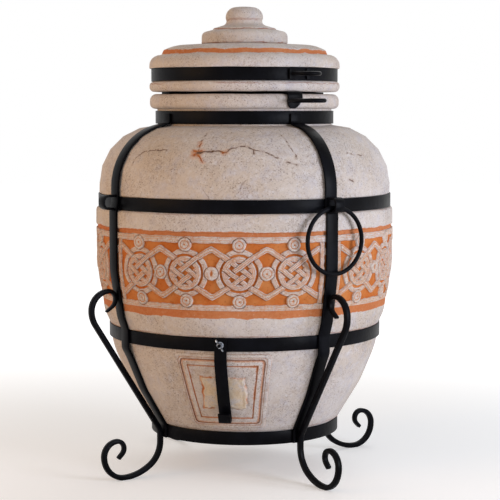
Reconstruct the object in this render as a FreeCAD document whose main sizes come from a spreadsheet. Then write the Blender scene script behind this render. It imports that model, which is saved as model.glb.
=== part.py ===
import FreeCAD, Part
import math
import os

import Sketcher
from FreeCAD import Placement, Rotation, Vector

# Clay tandoor oven with a forged frame. Millimetres, +Z up, the origin on the floor
# below the middle of the oven, the ash door towards -Y.
# Every outline is drawn in a plane through the oven's axis: x is the radius, y the height.

SIZES = {
    # clay vessel, outside
    "clay_bottom": 82.5,
    "base_seat_inset": 6.0,
    "cone_foot_height": 103.0,
    "cone_foot_inset": 42.5,
    "cone_middle_height": 174.0,
    "cone_middle_inset": 34.0,
    "cone_top_drop": 27.5,
    "cone_top_inset": 6.0,
    "cone_round": 150.0,
    "lower_seat_inset": 28.5,
    "lower_ledge_step": 2.5,
    "belly_foot_height": 315.0,
    "belly_foot_step": 13.0,
    "belly_round": 60.0,
    "belly_turn_height": 405.0,
    "belly_turn_round": 150.0,
    "belly_radius": 292.5,
    "lip_height": 519.0,
    "lip_round": 7.0,
    "middle_seat_inset": 8.5,
    "seam_height": 532.0,
    "shoulder_inset": 6.5,
    "shoulder_round": 117.0,
    "shoulder_height": 677.0,
    "neck_seat_inset": 14.5,
    "rim_bottom": 709.0,
    "rim_radius": 185.5,
    "rim_height": 737.0,
    "rim_round": 12.0,
    "edge_round": 1.5,
    # raised frieze round the belly
    "groove_top": 485.0,
    "groove_bottom": 477.5,
    "groove_depth": 3.0,
    "frieze_top": 466.0,
    "frieze_bottom": 357.0,
    "frieze_depth": 5.0,
    "rail_bottom": 342.0,
    "rail_step": 1.5,
    # clay vessel, inside
    "chamber_floor": 122.0,
    "floor_radius": 140.0,
    "floor_round": 30.0,
    "wall": 52.0,
    "throat_radius": 125.0,
    "throat_round": 30.0,
    "shoulder_wall": 54.0,
    # ash port in the front wall
    "port_top": 250.0,
    "port_bottom": 118.5,
    "port_top_width": 163.5,
    "port_bottom_width": 120.5,
    "port_corner": 8.0,
    "port_gap": 1.5,
    "sill_gap": 0.3,
    "port_taper": 3.0,
    "port_plane": 280.0,
    "port_prism_length": 160.0,
    "port_frame_width": 9.5,
    "port_frame_height": 3.5,
    "door_depth": 45.0,
    "door_rim_width": 11.0,
    "door_panel_height": 1.5,
    "boss_top": 215.5,
    "boss_bottom": 149.0,
    "boss_width": 85.0,
    "boss_height": 4.5,
    # hoops and ribs: one flat bar
    "bar_width": 25.0,
    "bar_thickness": 4.0,
    "hoop_fit": 0.2,
    "base_hoop_height": 74.5,
    "lower_hoop_height": 265.5,
    "middle_hoop_height": 519.5,
    "neck_hoop_height": 680.0,
    "rib_turn": 42.4,
    "rib_fit": 0.3,
    "rib_shoulder_fit": 2.3,
    "rib_shoulder_drop": 2.0,
    "rib_top": 700.0,
    "rib_tuck": 12.0,
    "rib_bend": 10.0,
    "rib_sweep": 150.0,
    "rib_step_height": 533.0,
    "rib_step_drop": 17.0,
    # scrolled legs: one square bar, drawn out thinner at both ends
    "leg_bar": 10.0,
    "curl_tip": 4.0,
    "foot_tip": 7.0,
    "leg_draw_length": 75.0,
    "leg_bend_height": 88.32568,
    "leg_bend": 30.0,
    "leg_top": 366.0,
    "curl_outer_round": 50.0,
    "curl_top_round": 36.0,
    "curl_inner_round": 15.0,
    "curl_end_round": 20.0,
    "curl_end_turn": 55.0,
    "curl_end_length": 14.0,
    "foot_first_round": 55.0,
    "foot_first_turn": 55.0,
    "foot_floor_round": 97.0,
    "foot_outer_round": 44.0,
    "foot_top_round": 28.0,
    "foot_inner_round": 15.0,
    "foot_end_turn": 45.0,
    "foot_end_length": 12.0,
    "foot_flat": 0.4,
    # eyes and rings
    "eye_height": 28.0,
    "eye_reach": 28.0,
    "eye_width": 20.0,
    "eye_middle": 534.0,
    "ring_rod": 8.0,
    "ring_radius": 61.0,
    "ring_stand_off": 2.7,
    "ring_drop_gap": 1.2,
    # bars under the clay
    "base_bar_gap": 0.2,
    # lid
    "seat_gap": 0.3,
    "lid_radius": 187.0,
    "lid_bead_height": 20.0,
    "lid_seat_depth": 8.0,
    "lid_top_bead": 26.0,
    "lid_bead_round": 20.0,
    "lid_bottom_round": 9.5,
    "stripe_radius": 163.5,
    "stripe_height": 10.0,
    "stripe_lean": 4.5,
    "lid_slope_radius": 140.0,
    "lid_slope_rise": 8.5,
    "lid_crown_radius": 88.0,
    "lid_crown_rise": 11.5,
    "vent_radius": 48.0,
    "lid_hollow_radius": 150.0,
    "lid_hollow_edge": 26.0,
    "lid_hollow_rise": 60.0,
    # vent cap
    "cap_plug_length": 26.0,
    "cap_plug_gap": 2.0,
    "cap_radius": 84.5,
    "cap_thickness": 23.0,
    "cap_round": 9.0,
    "cap_slope_radius": 65.0,
    "cap_slope_rise": 4.5,
    "skirt_radius": 60.0,
    "skirt_rise": 8.5,
    "cap_flare_radius": 40.0,
    "cap_flare_rise": 37.0,
    "cap_flare_round": 14.0,
    "cap_waist_radius": 33.5,
    "cap_waist_rise": 43.0,
    "knob_radius": 37.2,
    "knob_foot_rise": 6.0,
    "knob_round": 22.0,
    "knob_rise": 72.0,
    # rod grips on the lid
    "grip_rod": 8.0,
    "lid_grip_turn": 44.4,
    "lid_grip_half_width": 20.0,
    "lid_grip_reach": 46.0,
    "palm_width": 15.0,
    "palm_thickness": 3.5,
    # skewer hanger across the throat
    "hanger_turn": 39.6,
    "hanger_width": 32.0,
    "hanger_thickness": 4.0,
    "hanger_drop": 32.0,
    "hanger_bend": 6.0,
    "hanger_rim_gap": 0.5,
    "hanger_hoop_radius": 70.0,
    "hanger_grip_half_width": 16.0,
    "hanger_grip_reach": 86.0,
    "hanger_grip_height": 724.0,
    "cross_bar_overlap": 50.0,
    # strap that holds the ash door
    "stud_radius": 3.0,
    "stud_length": 20.0,
    "strap_top_rise": 24.0,
    "strap_bottom": 135.5,
    "strap_stand_off": 8.0,
    "strap_gap": 0.3,
    "strap_fold_round": 8.0,
    "strap_fold_turn": 180.0,
    "strap_fold_length": 17.0,
    "strap_width": 23.0,
    "stud_fit": 0.08,
    "stack_gap": 0.2,
    "washer_radius": 6.4,
    "washer_thickness": 1.6,
    "nut_radius": 5.2,
    "nut_length": 6.0,
    "wing_reach": 12.6,
    "wing_height": 8.0,
    "wing_thickness": 2.4,
    "wing_turn": -55.0,
    # fire grate
    "grate_throat_gap": 6.0,
    "grate_thickness": 9.0,
    "grate_height": 185.0,
    "grate_rim": 14.0,
    "grate_slot": 13.0,
    "grate_web": 11.0,
    "grate_foot_radius": 8.0,
    "grate_foot_inset": 9.0,
}

FRONT = -90.0  # the ash door looks this way round the Z axis


def size(name):
    """The value of one driving dimension, read from the sheet."""
    return float(sheet.get(name))


def fill_sheet(doc):
    page = doc.addObject("Spreadsheet::Sheet", "sizes")
    for row, (name, value) in enumerate(SIZES.items(), start=1):
        page.set(f"A{row}", name)
        page.set(f"B{row}", str(value))
        page.setAlias(f"B{row}", name)
    doc.recompute()
    return page


# ---------------------------------------------------------------- outlines


def corner_lengths(points, closed):
    """How far each rounded corner reaches along its two sides."""
    count = len(points)
    lengths = [0.0] * count
    for i, (x, y, radius) in enumerate(points):
        if radius <= 0 or (not closed and i in (0, count - 1)):
            continue
        corner = Vector(x, y, 0)
        back = Vector(*points[i - 1][:2], 0) - corner
        ahead = Vector(*points[(i + 1) % count][:2], 0) - corner
        turn = math.pi - back.getAngle(ahead)
        lengths[i] = radius * math.tan(turn / 2)
    for i in range(count if closed else count - 1):
        j = (i + 1) % count
        side = (Vector(*points[j][:2], 0) - Vector(*points[i][:2], 0)).Length
        reach = lengths[i] + lengths[j]
        if reach > side:
            lengths[i] *= side / reach
            lengths[j] *= side / reach
    return lengths


def rounded_edges(points, closed=True):
    """Lines and arcs through corners given as (x, y, corner radius)."""
    lengths = corner_lengths(points, closed)
    count = len(points)
    ends = []
    for i, (x, y, radius) in enumerate(points):
        corner = Vector(x, y, 0)
        if lengths[i] < 1e-6:
            ends.append((corner, corner, None))
            continue
        back = (Vector(*points[i - 1][:2], 0) - corner).normalize()
        ahead = (Vector(*points[(i + 1) % count][:2], 0) - corner).normalize()
        half = back.getAngle(ahead) / 2
        to_centre = lengths[i] / math.cos(half)
        true_radius = lengths[i] * math.tan(half)
        inward = (back + ahead).normalize()
        middle = corner + inward * (to_centre - true_radius)
        ends.append((corner + back * lengths[i], corner + ahead * lengths[i], middle))
    edges = []
    for i, (start, end, middle) in enumerate(ends):
        if middle is not None:
            edges.append(Part.Arc(start, middle, end))
        if closed or i < count - 1:
            following = ends[(i + 1) % count][0]
            if (following - end).Length > 1e-6:
                edges.append(Part.LineSegment(end, following))
    return edges


def along(points):
    """Start, heading and moves of an open path through rounded corners."""
    lengths = corner_lengths(points, closed=False)
    places = [Vector(x, y, 0) for x, y, _ in points]
    first = places[1] - places[0]
    heading = math.degrees(math.atan2(first.y, first.x))
    moves = []
    for i in range(1, len(points)):
        side = places[i] - places[i - 1]
        moves.append((side.Length - lengths[i - 1] - lengths[i],))
        if i + 1 < len(points) and lengths[i] > 0:
            after = places[i + 1] - places[i]
            turn = math.copysign(side.getAngle(after), side.cross(after).z)
            moves.append((lengths[i] / math.tan(abs(turn) / 2), math.degrees(turn)))
    return points[0][:2], heading, moves


def walk(start, heading, moves):
    """Stations along a path of straight runs and turns.

    A move is (length,) for a straight run, or (radius, degrees) for a turn, positive to the
    left. Each leg gives its first, middle and last station as (point, heading, distance).
    """
    legs = []
    point = Vector(*start, 0)
    angle = math.radians(heading)
    distance = 0.0
    for move in moves:
        bend = math.radians(move[1]) if len(move) == 2 else 0.0
        length = move[0] * abs(bend) if bend else move[0]
        if length < 1e-6:
            continue
        leg = []
        for share in (0.0, 0.5, 1.0):
            chord = 2 * move[0] * math.sin(abs(bend) * share / 2) if bend else length * share
            direction = angle + bend * share / 2
            place = point + Vector(math.cos(direction), math.sin(direction), 0) * chord
            leg.append((place, angle + bend * share, distance + length * share))
        legs.append((bool(bend), leg))
        point, angle, distance = leg[-1]
    return legs


def bar_edges(legs, left, right):
    """Closed outline of a bar; left and right give its two faces' offsets by distance."""
    sides = []
    for offset in (left, right):
        edges = []
        for bent, leg in legs:
            places = []
            for point, angle, distance in leg:
                across = Vector(-math.sin(angle), math.cos(angle), 0)
                places.append(point + across * offset(distance))
            if bent:
                edges.append(Part.Arc(*places))
            else:
                edges.append(Part.LineSegment(places[0], places[2]))
        sides.append(edges)
    caps = []
    for end in ("StartPoint", "EndPoint"):
        which = 0 if end == "StartPoint" else -1
        caps.append(Part.LineSegment(getattr(sides[0][which], end), getattr(sides[1][which], end)))
    return sides[0] + sides[1] + caps


# ---------------------------------------------------------------- features


def new_body(label, angle=None):
    body = doc.addObject("PartDesign::Body", label)
    body.Label = label
    if angle is not None:
        body.Placement = Placement(Vector(), Rotation(Vector(0, 0, 1), angle))
    return body


def new_sketch(body, role, edges=(), offset=0.0):
    sketch = body.newObject("Sketcher::SketchObject", f"{body.Label}_outline")
    planes = {plane.Role: plane for plane in body.Origin.OriginFeatures}
    sketch.AttachmentSupport = [(planes[role], "")]
    sketch.MapMode = "FlatFace"
    sketch.AttachmentOffset = Placement(Vector(0, 0, offset), Rotation())
    for edge in edges:
        sketch.addGeometry(edge, False)
    return sketch


def turned(body, edges, feature="Revolution"):
    """Turn an outline on the XZ plane about the body's Z axis."""
    sketch = new_sketch(body, "XZ_Plane", edges)
    revolution = body.newObject(f"PartDesign::{feature}", f"{body.Label}_turned")
    revolution.Profile = sketch
    revolution.ReferenceAxis = (sketch, ["V_Axis"])
    revolution.Angle = 360.0
    body.Tip = revolution
    return revolution


def padded(body, role, edges, length, symmetric=True, offset=0.0, reverse=False):
    """Pad an outline by the sheet's value, or expression, called length."""
    sketch = new_sketch(body, role, edges, offset)
    pad = body.newObject("PartDesign::Pad", f"{body.Label}_pad")
    pad.Profile = sketch
    pad.SideType = "Symmetric" if symmetric else "One side"
    pad.Reversed = reverse
    pad.setExpression("Length", length)
    body.Tip = pad
    return pad


def pocketed(body, role, edges, length, symmetric=True, offset=0.0, reverse=False):
    sketch = new_sketch(body, role, edges, offset)
    pocket = body.newObject("PartDesign::Pocket", f"{body.Label}_pocket")
    pocket.Profile = sketch
    pocket.SideType = "Symmetric" if symmetric else "One side"
    pocket.Reversed = reverse
    pocket.setExpression("Length", length)
    body.Tip = pocket
    return pocket


def box_edges(x_low, x_high, y_low, y_high, corner=0.0):
    points = [
        (x_low, y_low, corner),
        (x_high, y_low, corner),
        (x_high, y_high, corner),
        (x_low, y_high, corner),
    ]
    return rounded_edges(points)


def circle_edge(radius, x=0.0, y=0.0):
    return Part.Circle(Vector(x, y, 0), Vector(0, 0, 1), radius)


def boolean(kind, label, base, tool):
    result = doc.addObject(f"Part::{kind}", label)
    result.Label = label
    result.Base = base
    result.Tool = tool
    return result


# ---------------------------------------------------------------- clay


def middle_seat_radius():
    return size("belly_radius") - size("middle_seat_inset")


def shoulder_radius():
    return size("belly_radius") - size("shoulder_inset")


def neck_seat_radius():
    return size("rim_radius") - size("neck_seat_inset")


def shoulder_round():
    """The shoulder's round ends at the neck hoop's seat at the latest."""
    return min(size("shoulder_round"), shoulder_radius() - neck_seat_radius())


def lower_seat_radius():
    return size("belly_radius") - size("lower_seat_inset")


def cone_middle_radius():
    return lower_seat_radius() - size("cone_middle_inset")


def cone_foot_radius():
    return cone_middle_radius() - size("cone_foot_inset")


def base_seat_radius():
    return cone_foot_radius() - size("base_seat_inset")


def cone_top_height():
    return size("lower_hoop_height") - size("cone_top_drop")


def cone_top_radius():
    return lower_seat_radius() - size("cone_top_inset")


def belly_foot_radius():
    return lower_seat_radius() + size("belly_foot_step")


def cone_line(offset):
    """The vessel's outer face below the lower hoop, from the foot up, moved outwards."""
    return [
        (cone_foot_radius() + offset, size("cone_foot_height"), 0.0),
        (cone_middle_radius() + offset, size("cone_middle_height"), size("cone_round")),
        (cone_top_radius() + offset, cone_top_height(), size("cone_round")),
        (lower_seat_radius() + offset, size("lower_hoop_height"), 0.0),
    ]


def vessel_outside():
    """From the bottom's edge up to the seam behind the middle hoop."""
    belly = size("belly_radius")
    ground = belly - size("frieze_depth")
    groove = belly - size("groove_depth")
    turn_height = size("belly_turn_height")
    foot_height = size("belly_foot_height")
    foot_radius = belly_foot_radius()
    slope = (belly - foot_radius) / (turn_height - foot_height)
    rail_top_radius = belly - slope * (turn_height - size("frieze_bottom"))
    rail_bottom_radius = belly - slope * (turn_height - size("rail_bottom"))
    base_seat = base_seat_radius()
    middle_seat = middle_seat_radius()
    lower_top = size("lower_hoop_height") + size("bar_width")
    return [
        (base_seat, size("clay_bottom"), 0.0),
        (base_seat, size("base_hoop_height") + size("bar_width") + 0.5, 0.0),
        *cone_line(0.0),
        (lower_seat_radius(), lower_top + 0.5, 0.0),
        (lower_seat_radius() + size("lower_ledge_step"), lower_top + 0.5, 0.0),
        (foot_radius, foot_height, size("belly_round")),
        (rail_bottom_radius - size("rail_step"), size("rail_bottom"), 0.0),
        (rail_bottom_radius, size("rail_bottom"), 0.0),
        (rail_top_radius, size("frieze_bottom"), 0.0),
        (rail_top_radius - size("frieze_depth"), size("frieze_bottom"), 0.0),
        (ground, turn_height, size("belly_turn_round")),
        (ground, size("frieze_top"), 0.0),
        (belly, size("frieze_top"), 0.0),
        (belly, size("groove_bottom"), 0.0),
        (groove, size("groove_bottom"), 0.0),
        (groove, size("groove_top"), 0.0),
        (belly, size("groove_top"), 0.0),
        (belly, size("lip_height"), size("lip_round")),
        (middle_seat, size("lip_height"), 0.0),
        (middle_seat, size("seam_height"), 0.0),
    ]


def chamber_radius():
    return shoulder_radius() - size("wall")


def vessel_inside():
    """From the seam down to the middle of the chamber floor."""
    widening = size("cone_round")
    return [
        (chamber_radius(), size("seam_height"), 0.0),
        (chamber_radius(), size("belly_foot_height"), widening),
        (cone_top_radius() - size("wall"), cone_top_height(), widening),
        (cone_middle_radius() - size("wall"), size("cone_middle_height"), widening),
        (size("floor_radius"), size("chamber_floor"), size("floor_round")),
        (0.0, size("chamber_floor"), 0.0),
        (0.0, size("clay_bottom"), 0.0),
    ]


def shoulder_points():
    """The upper half of the vessel, from the seam up to the rim and down the throat."""
    middle_top = size("middle_hoop_height") + size("bar_width")
    middle_seat = middle_seat_radius()
    shoulder = shoulder_radius()
    neck = neck_seat_radius()
    rim = size("rim_radius")
    throat = size("throat_radius")
    ceiling = size("shoulder_height") - size("shoulder_wall")
    ceiling_round = shoulder_round() - size("wall")
    return [
        (middle_seat, size("seam_height"), 0.0),
        (middle_seat, middle_top + 0.5, 0.0),
        (shoulder, middle_top + 0.5, 0.0),
        (shoulder, size("shoulder_height"), shoulder_round()),
        (neck, size("shoulder_height"), 0.0),
        (neck, size("rim_bottom"), 0.0),
        (rim, size("rim_bottom"), size("rim_round") - 2),
        (rim, size("rim_height"), size("rim_round")),
        (throat, size("rim_height"), 0.0),
        (throat, ceiling, size("throat_round")),
        (chamber_radius(), ceiling, ceiling_round),
        (chamber_radius(), size("seam_height"), 0.0),
    ]


def port_corners(grow, bottom=None):
    """The port's trapezoid, grown on every side, or down to a given height."""
    high, low = size("port_top"), size("port_bottom")
    wide, narrow = size("port_top_width") / 2, size("port_bottom_width") / 2
    slope = (wide - narrow) / (high - low)
    lean = math.hypot(1.0, slope)
    top = high + grow
    bottom = low - grow if bottom is None else bottom
    at_top = wide + slope * (top - high) + grow * lean
    at_bottom = narrow + slope * (bottom - low) + grow * lean
    corner = size("port_corner")
    return rounded_edges([
        (-at_bottom, bottom, corner),
        (at_bottom, bottom, corner),
        (at_top, top, corner),
        (-at_top, top, corner),
    ])


def cone_ring(label, inner, outer):
    """A ring that follows the cone between two distances from its face."""
    body = new_body(label)
    turned(body, rounded_edges(cone_line(inner) + cone_line(outer)[::-1]))
    return body


def front_prism(label, edges, taper=0.0):
    """A prism from in front of the cone inwards, narrowing by the taper."""
    body = new_body(label)
    start = size("port_plane")
    pad = padded(body, "XZ_Plane", edges, "sizes.port_prism_length", False, start, True)
    pad.TaperAngle = -taper
    return body


def build_clay_body():
    form = new_body("clay_form")
    turned(form, rounded_edges(vessel_outside() + vessel_inside()))
    ring = cone_ring("frame_ring", -size("wall") / 4, size("port_frame_height"))
    prism = front_prism("frame_prism", port_corners(size("port_frame_width")))
    frame = boolean("Common", "port_frame", ring, prism)
    framed = boolean("Fuse", "framed_form", form, frame)
    opening = front_prism("port_opening", port_corners(0.0), size("port_taper"))
    return boolean("Cut", "clay_body", framed, opening)


def build_clay_shoulder():
    body = new_body("clay_shoulder")
    turned(body, rounded_edges(shoulder_points()))
    return body


def build_ash_door():
    gap = size("port_gap")
    sill = size("port_bottom") + size("sill_gap")
    ring = cone_ring("door_ring", -size("door_depth"), size("port_frame_height"))
    prism = front_prism("door_prism", port_corners(-gap, bottom=sill), size("port_taper"))
    plug = boolean("Common", "door_plug", ring, prism)
    inset = -gap - size("door_rim_width")
    hollow_ring = cone_ring("panel_ring", size("door_panel_height"), 2 * size("door_depth"))
    hollow_prism = front_prism("panel_prism", port_corners(inset))
    hollow = boolean("Common", "panel_hollow", hollow_ring, hollow_prism)
    panelled = boolean("Cut", "panelled_door", plug, hollow)
    half = size("boss_width") / 2
    corners = box_edges(-half, half, size("boss_bottom"), size("boss_top"), size("port_corner"))
    boss_ring = cone_ring("boss_ring", -size("door_depth") / 4, size("boss_height"))
    boss = boolean("Common", "door_boss", boss_ring, front_prism("boss_prism", corners))
    return boolean("Fuse", "ash_door", panelled, boss)


def lid_bottom():
    return size("rim_height") + 2 * size("seat_gap") + size("hanger_thickness")


def lid_seat():
    return lid_bottom() + size("lid_bead_height")


def crown_height():
    upper_bead = lid_seat() + size("bar_width") + 0.5 + size("lid_top_bead")
    return upper_bead + size("stripe_height") + size("lid_crown_rise")


def build_lid():
    radius = size("lid_radius")
    seat = radius - size("lid_seat_depth")
    bottom = lid_bottom()
    low = lid_seat()
    high = low + size("bar_width") + 0.5
    bead_top = high + size("lid_top_bead")
    stripe_top = bead_top + size("stripe_height")
    crown = crown_height()
    vent = size("vent_radius")
    hollow = size("lid_hollow_radius")
    points = [
        (hollow, bottom, 0.0),
        (radius, bottom, size("lid_bottom_round")),
        (radius, low, size("lid_bottom_round")),
        (seat, low, 0.0),
        (seat, high, 0.0),
        (radius, high, 0.0),
        (radius, bead_top, size("lid_bead_round")),
        (size("stripe_radius"), bead_top, 0.0),
        (size("stripe_radius") - size("stripe_lean"), stripe_top, size("lid_bottom_round")),
        (size("lid_slope_radius"), stripe_top + size("lid_slope_rise"), size("belly_round")),
        (size("lid_crown_radius"), crown, 0.0),
        (vent, crown, 0.0),
        (vent, bottom + size("lid_hollow_rise"), 0.0),
        (hollow, bottom + size("lid_hollow_edge"), size("lid_bead_round")),
    ]
    lid = new_body("lid")
    turned(lid, rounded_edges(points))
    return lid


def build_vent_cap():
    seat = crown_height() + size("seat_gap")
    plug = size("vent_radius") - size("cap_plug_gap")
    edge = 2 * size("edge_round")
    cap = size("cap_radius")
    top = seat + size("cap_thickness")
    waist = seat + size("cap_waist_rise")
    knob = size("knob_radius")
    points = [
        (0.0, seat - size("cap_plug_length"), 0.0),
        (plug, seat - size("cap_plug_length"), edge),
        (plug, seat, 0.0),
        (cap, seat, edge),
        (cap, top, size("cap_round")),
        (size("cap_slope_radius"), top + size("cap_slope_rise"), edge / 2),
        (size("skirt_radius"), top + size("skirt_rise"), edge),
        (size("cap_flare_radius"), seat + size("cap_flare_rise"), size("cap_flare_round")),
        (size("cap_waist_radius"), waist, 2 * edge),
        (knob, waist + size("knob_foot_rise"), 2 * edge),
        (knob, seat + size("knob_rise"), size("knob_round")),
        (0.0, seat + size("knob_rise"), 0.0),
    ]
    body = new_body("vent_cap")
    turned(body, rounded_edges(points))
    return body


# ---------------------------------------------------------------- hoops, ribs and legs


def build_hoop(label, seat, height):
    """A flat bar bent to a ring; seat and height are expressions of the sheet."""
    body = new_body(label)
    sketch = new_sketch(body, "XZ_Plane")
    inner = f"{seat} + sizes.hoop_fit"
    dimensions = {
        "inner": inner,
        "low": height,
        "thick": "sizes.bar_thickness",
        "tall": "sizes.bar_width",
    }
    x, y, thick, tall = [float(sketch.evalExpression(rule)) for rule in dimensions.values()]
    corners = [
        Vector(x, y, 0),
        Vector(x + thick, y, 0),
        Vector(x + thick, y + tall, 0),
        Vector(x, y + tall, 0),
    ]
    for i in range(4):
        sketch.addGeometry(Part.LineSegment(corners[i], corners[(i + 1) % 4]), False)
    for i in range(4):
        sketch.addConstraint(Sketcher.Constraint("Coincident", i, 2, (i + 1) % 4, 1))
        direction = "Vertical" if i % 2 else "Horizontal"
        sketch.addConstraint(Sketcher.Constraint(direction, i))
    ends = [
        Sketcher.Constraint("DistanceX", -1, 1, 0, 1, x),
        Sketcher.Constraint("DistanceY", -1, 1, 0, 1, y),
        Sketcher.Constraint("DistanceX", 0, 1, 0, 2, thick),
        Sketcher.Constraint("DistanceY", 1, 1, 1, 2, tall),
    ]
    for constraint, (name, rule) in zip(ends, dimensions.items()):
        index = sketch.addConstraint(constraint)
        sketch.renameConstraint(index, name)
        sketch.setExpression(f"Constraints.{name}", rule)
    revolution = body.newObject("PartDesign::Revolution", f"{label}_turned")
    revolution.Profile = sketch
    revolution.ReferenceAxis = (sketch, ["V_Axis"])
    revolution.Angle = 360.0
    body.Tip = revolution
    return body


def build_hoops():
    lid_height = (
        "sizes.rim_height + 2 * sizes.seat_gap + sizes.hanger_thickness"
        " + sizes.lid_bead_height + sizes.seat_gap"
    )
    neck_seat = "sizes.rim_radius - sizes.neck_seat_inset"
    middle_seat = "sizes.belly_radius - sizes.middle_seat_inset"
    lower_seat = "sizes.belly_radius - sizes.lower_seat_inset"
    base_insets = "sizes.cone_middle_inset - sizes.cone_foot_inset - sizes.base_seat_inset"
    base_seat = f"{lower_seat} - {base_insets}"
    return [
        build_hoop("base_band", base_seat, "sizes.base_hoop_height"),
        build_hoop("lower_band", lower_seat, "sizes.lower_hoop_height"),
        build_hoop("middle_band", middle_seat, "sizes.middle_hoop_height"),
        build_hoop("neck_band", neck_seat, "sizes.neck_hoop_height"),
        build_hoop("lid_band", "sizes.lid_radius - sizes.lid_seat_depth", lid_height),
    ]


def hoop_face(seat_radius):
    """Outer radius of the hoop in a seat."""
    return seat_radius + size("hoop_fit") + size("bar_thickness")


def rib_line():
    """The rib's inner face, from the neck hoop down to the base hoop."""
    fit = size("rib_fit")
    neck = hoop_face(neck_seat_radius()) + fit
    shoulder = hoop_face(middle_seat_radius()) + fit
    shoulder_bend = shoulder_round() + size("rib_shoulder_fit")
    tuck = math.radians(size("rib_tuck"))
    tangent = shoulder_bend * math.tan((math.pi / 2 - tuck) / 2)
    corner = size("shoulder_height") - shoulder_round() - size("rib_shoulder_drop") + tangent
    neck_corner = corner + (shoulder - neck) * math.tan(tuck)
    belly = size("belly_radius") + fit
    lower = hoop_face(lower_seat_radius()) + fit
    lower_hoop = size("lower_hoop_height")
    base = hoop_face(base_seat_radius()) + fit
    foot, middle, top, _ = cone_line(2 * fit)
    slope = (middle[0] - foot[0]) / (middle[1] - foot[1])
    bend = size("rib_bend")
    step = size("rib_step_height")
    return [
        (neck, size("rib_top"), 0.0),
        (neck, neck_corner, bend),
        (shoulder, corner, shoulder_bend),
        (shoulder, step, bend),
        (belly, step - size("rib_step_drop"), bend),
        (belly, size("belly_turn_height"), size("rib_sweep")),
        (belly_foot_radius() + 2 * fit, size("belly_foot_height"), size("belly_round")),
        (lower, lower_hoop + size("bar_width"), 2 * bend),
        (lower, lower_hoop - bend, 2 * bend),
        (top[0], top[1], size("rib_sweep")),
        (middle[0], middle[1], size("rib_sweep")),
        (base, foot[1] - (foot[0] - base) / slope, bend),
        (base, size("base_hoop_height"), 0.0),
    ]


def always(value):
    return lambda distance: value


PLACES = {"front_right": 0.0, "back_right": 90.0, "back_left": 180.0, "front_left": 270.0}


def rib_angle(place):
    return FRONT + size("rib_turn") + PLACES[place]


def build_rib(place):
    body = new_body(f"rib_{place}", rib_angle(place))
    legs = walk(*along(rib_line()))
    edges = bar_edges(legs, always(size("bar_thickness")), always(0.0))
    padded(body, "XZ_Plane", edges, "sizes.bar_width")
    return body


def beside_rib(height, distance):
    """Radius of a point at a height, this far square out from the rib's belly face."""
    upper, lower = rib_line()[5:7]
    share = (upper[1] - height) / (upper[1] - lower[1])
    inner = upper[0] + share * (lower[0] - upper[0])
    slope = math.atan((upper[0] - lower[0]) / (upper[1] - lower[1]))
    return inner + (size("bar_thickness") + distance) / math.cos(slope)


def leg_radius():
    """Radius of the leg's middle line where it stands against the rib's lower end."""
    rib_face = rib_line()[-1][0] + size("bar_thickness")
    return rib_face + size("hoop_fit") + size("leg_bar") / 2


def foot_moves():
    first_turn = size("foot_first_turn")
    return [
        (size("foot_first_round"), first_turn),
        (size("foot_floor_round"), 90 - first_turn),
        (size("foot_outer_round"), 90),
        (size("foot_top_round"), 90),
        (size("foot_inner_round"), 90 + size("foot_end_turn")),
        (size("foot_end_length"),),
    ]


def foot_start_height():
    """Where the foot's scroll leaves the upright, so that it ends flat on the floor."""
    sine = math.sin(math.radians(size("foot_first_turn")))
    drop = size("foot_first_round") * sine + size("foot_floor_round") * (1 - sine)
    return size("leg_bar") / 2 - size("foot_flat") + drop


def leg_width_at(from_foot, from_curl):
    """The bar is drawn out thinner towards its two tips."""
    bar, draw = size("leg_bar"), size("leg_draw_length")
    at_foot = size("foot_tip") + (bar - size("foot_tip")) * min(from_foot / draw, 1.0)
    at_curl = size("curl_tip") + (bar - size("curl_tip")) * min(from_curl / draw, 1.0)
    return min(at_foot, at_curl)


def curl_centre():
    """Radius of the curl's inner centre, where the curl rests on the rib."""
    inner = size("curl_inner_round")
    tip_length = size("curl_end_length")
    tip_length += size("curl_end_round") * math.radians(size("curl_end_turn"))
    touch_width = leg_width_at(size("leg_draw_length"), tip_length)
    off_rib = inner + touch_width / 2 + size("hoop_fit")
    return beside_rib(size("leg_top") - inner, off_rib)


def upper_moves():
    """From the foot's scroll up the shank, which runs into the curl, to the curl's tip."""
    outer, top = size("curl_outer_round"), size("curl_top_round")
    across = curl_centre() + top - outer - leg_radius()
    up = size("leg_top") - top - size("leg_bend_height")
    lean = math.atan2(across, up) + math.asin(outer / math.hypot(across, up))
    shank = math.sqrt(across ** 2 + up ** 2 - outer ** 2)
    bend = size("leg_bend")
    reach = bend * math.tan(lean / 2)
    return [
        (size("leg_bend_height") - reach - foot_start_height(),),
        (bend, -math.degrees(lean)),
        (shank - reach,),
        (outer, math.degrees(lean)),
        (top, 90),
        (size("curl_inner_round"), 90),
        (size("curl_end_round"), size("curl_end_turn")),
        (size("curl_end_length"),),
    ]


def leg_legs():
    """Stations from the foot's tip to the curl's tip."""
    start = (leg_radius(), foot_start_height())
    foot = walk(start, -90, foot_moves())
    foot_length = foot[-1][1][-1][2]
    legs = []
    for bent, leg in reversed(foot):
        stations = [(point, angle + math.pi, foot_length - far) for point, angle, far in leg[::-1]]
        legs.append((bent, stations))
    for bent, leg in walk(start, 90, upper_moves()):
        legs.append((bent, [(point, angle, foot_length + far) for point, angle, far in leg]))
    return legs


def build_leg(place):
    body = new_body(f"leg_{place}", rib_angle(place))
    legs = leg_legs()
    total = legs[-1][1][-1][2]
    edges = bar_edges(
        legs,
        lambda far: leg_width_at(far, total - far) / 2,
        lambda far: -leg_width_at(far, total - far) / 2,
    )
    padded(body, "XZ_Plane", edges, "sizes.leg_bar")
    reach = leg_radius() + 2 * size("foot_floor_round")
    below = box_edges(leg_radius(), reach, -size("leg_bar"), 0.0)
    pocketed(body, "XZ_Plane", below, "2 * sizes.leg_bar")
    return body


def rib_belly_face():
    return size("belly_radius") + size("rib_fit") + size("bar_thickness")


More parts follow.
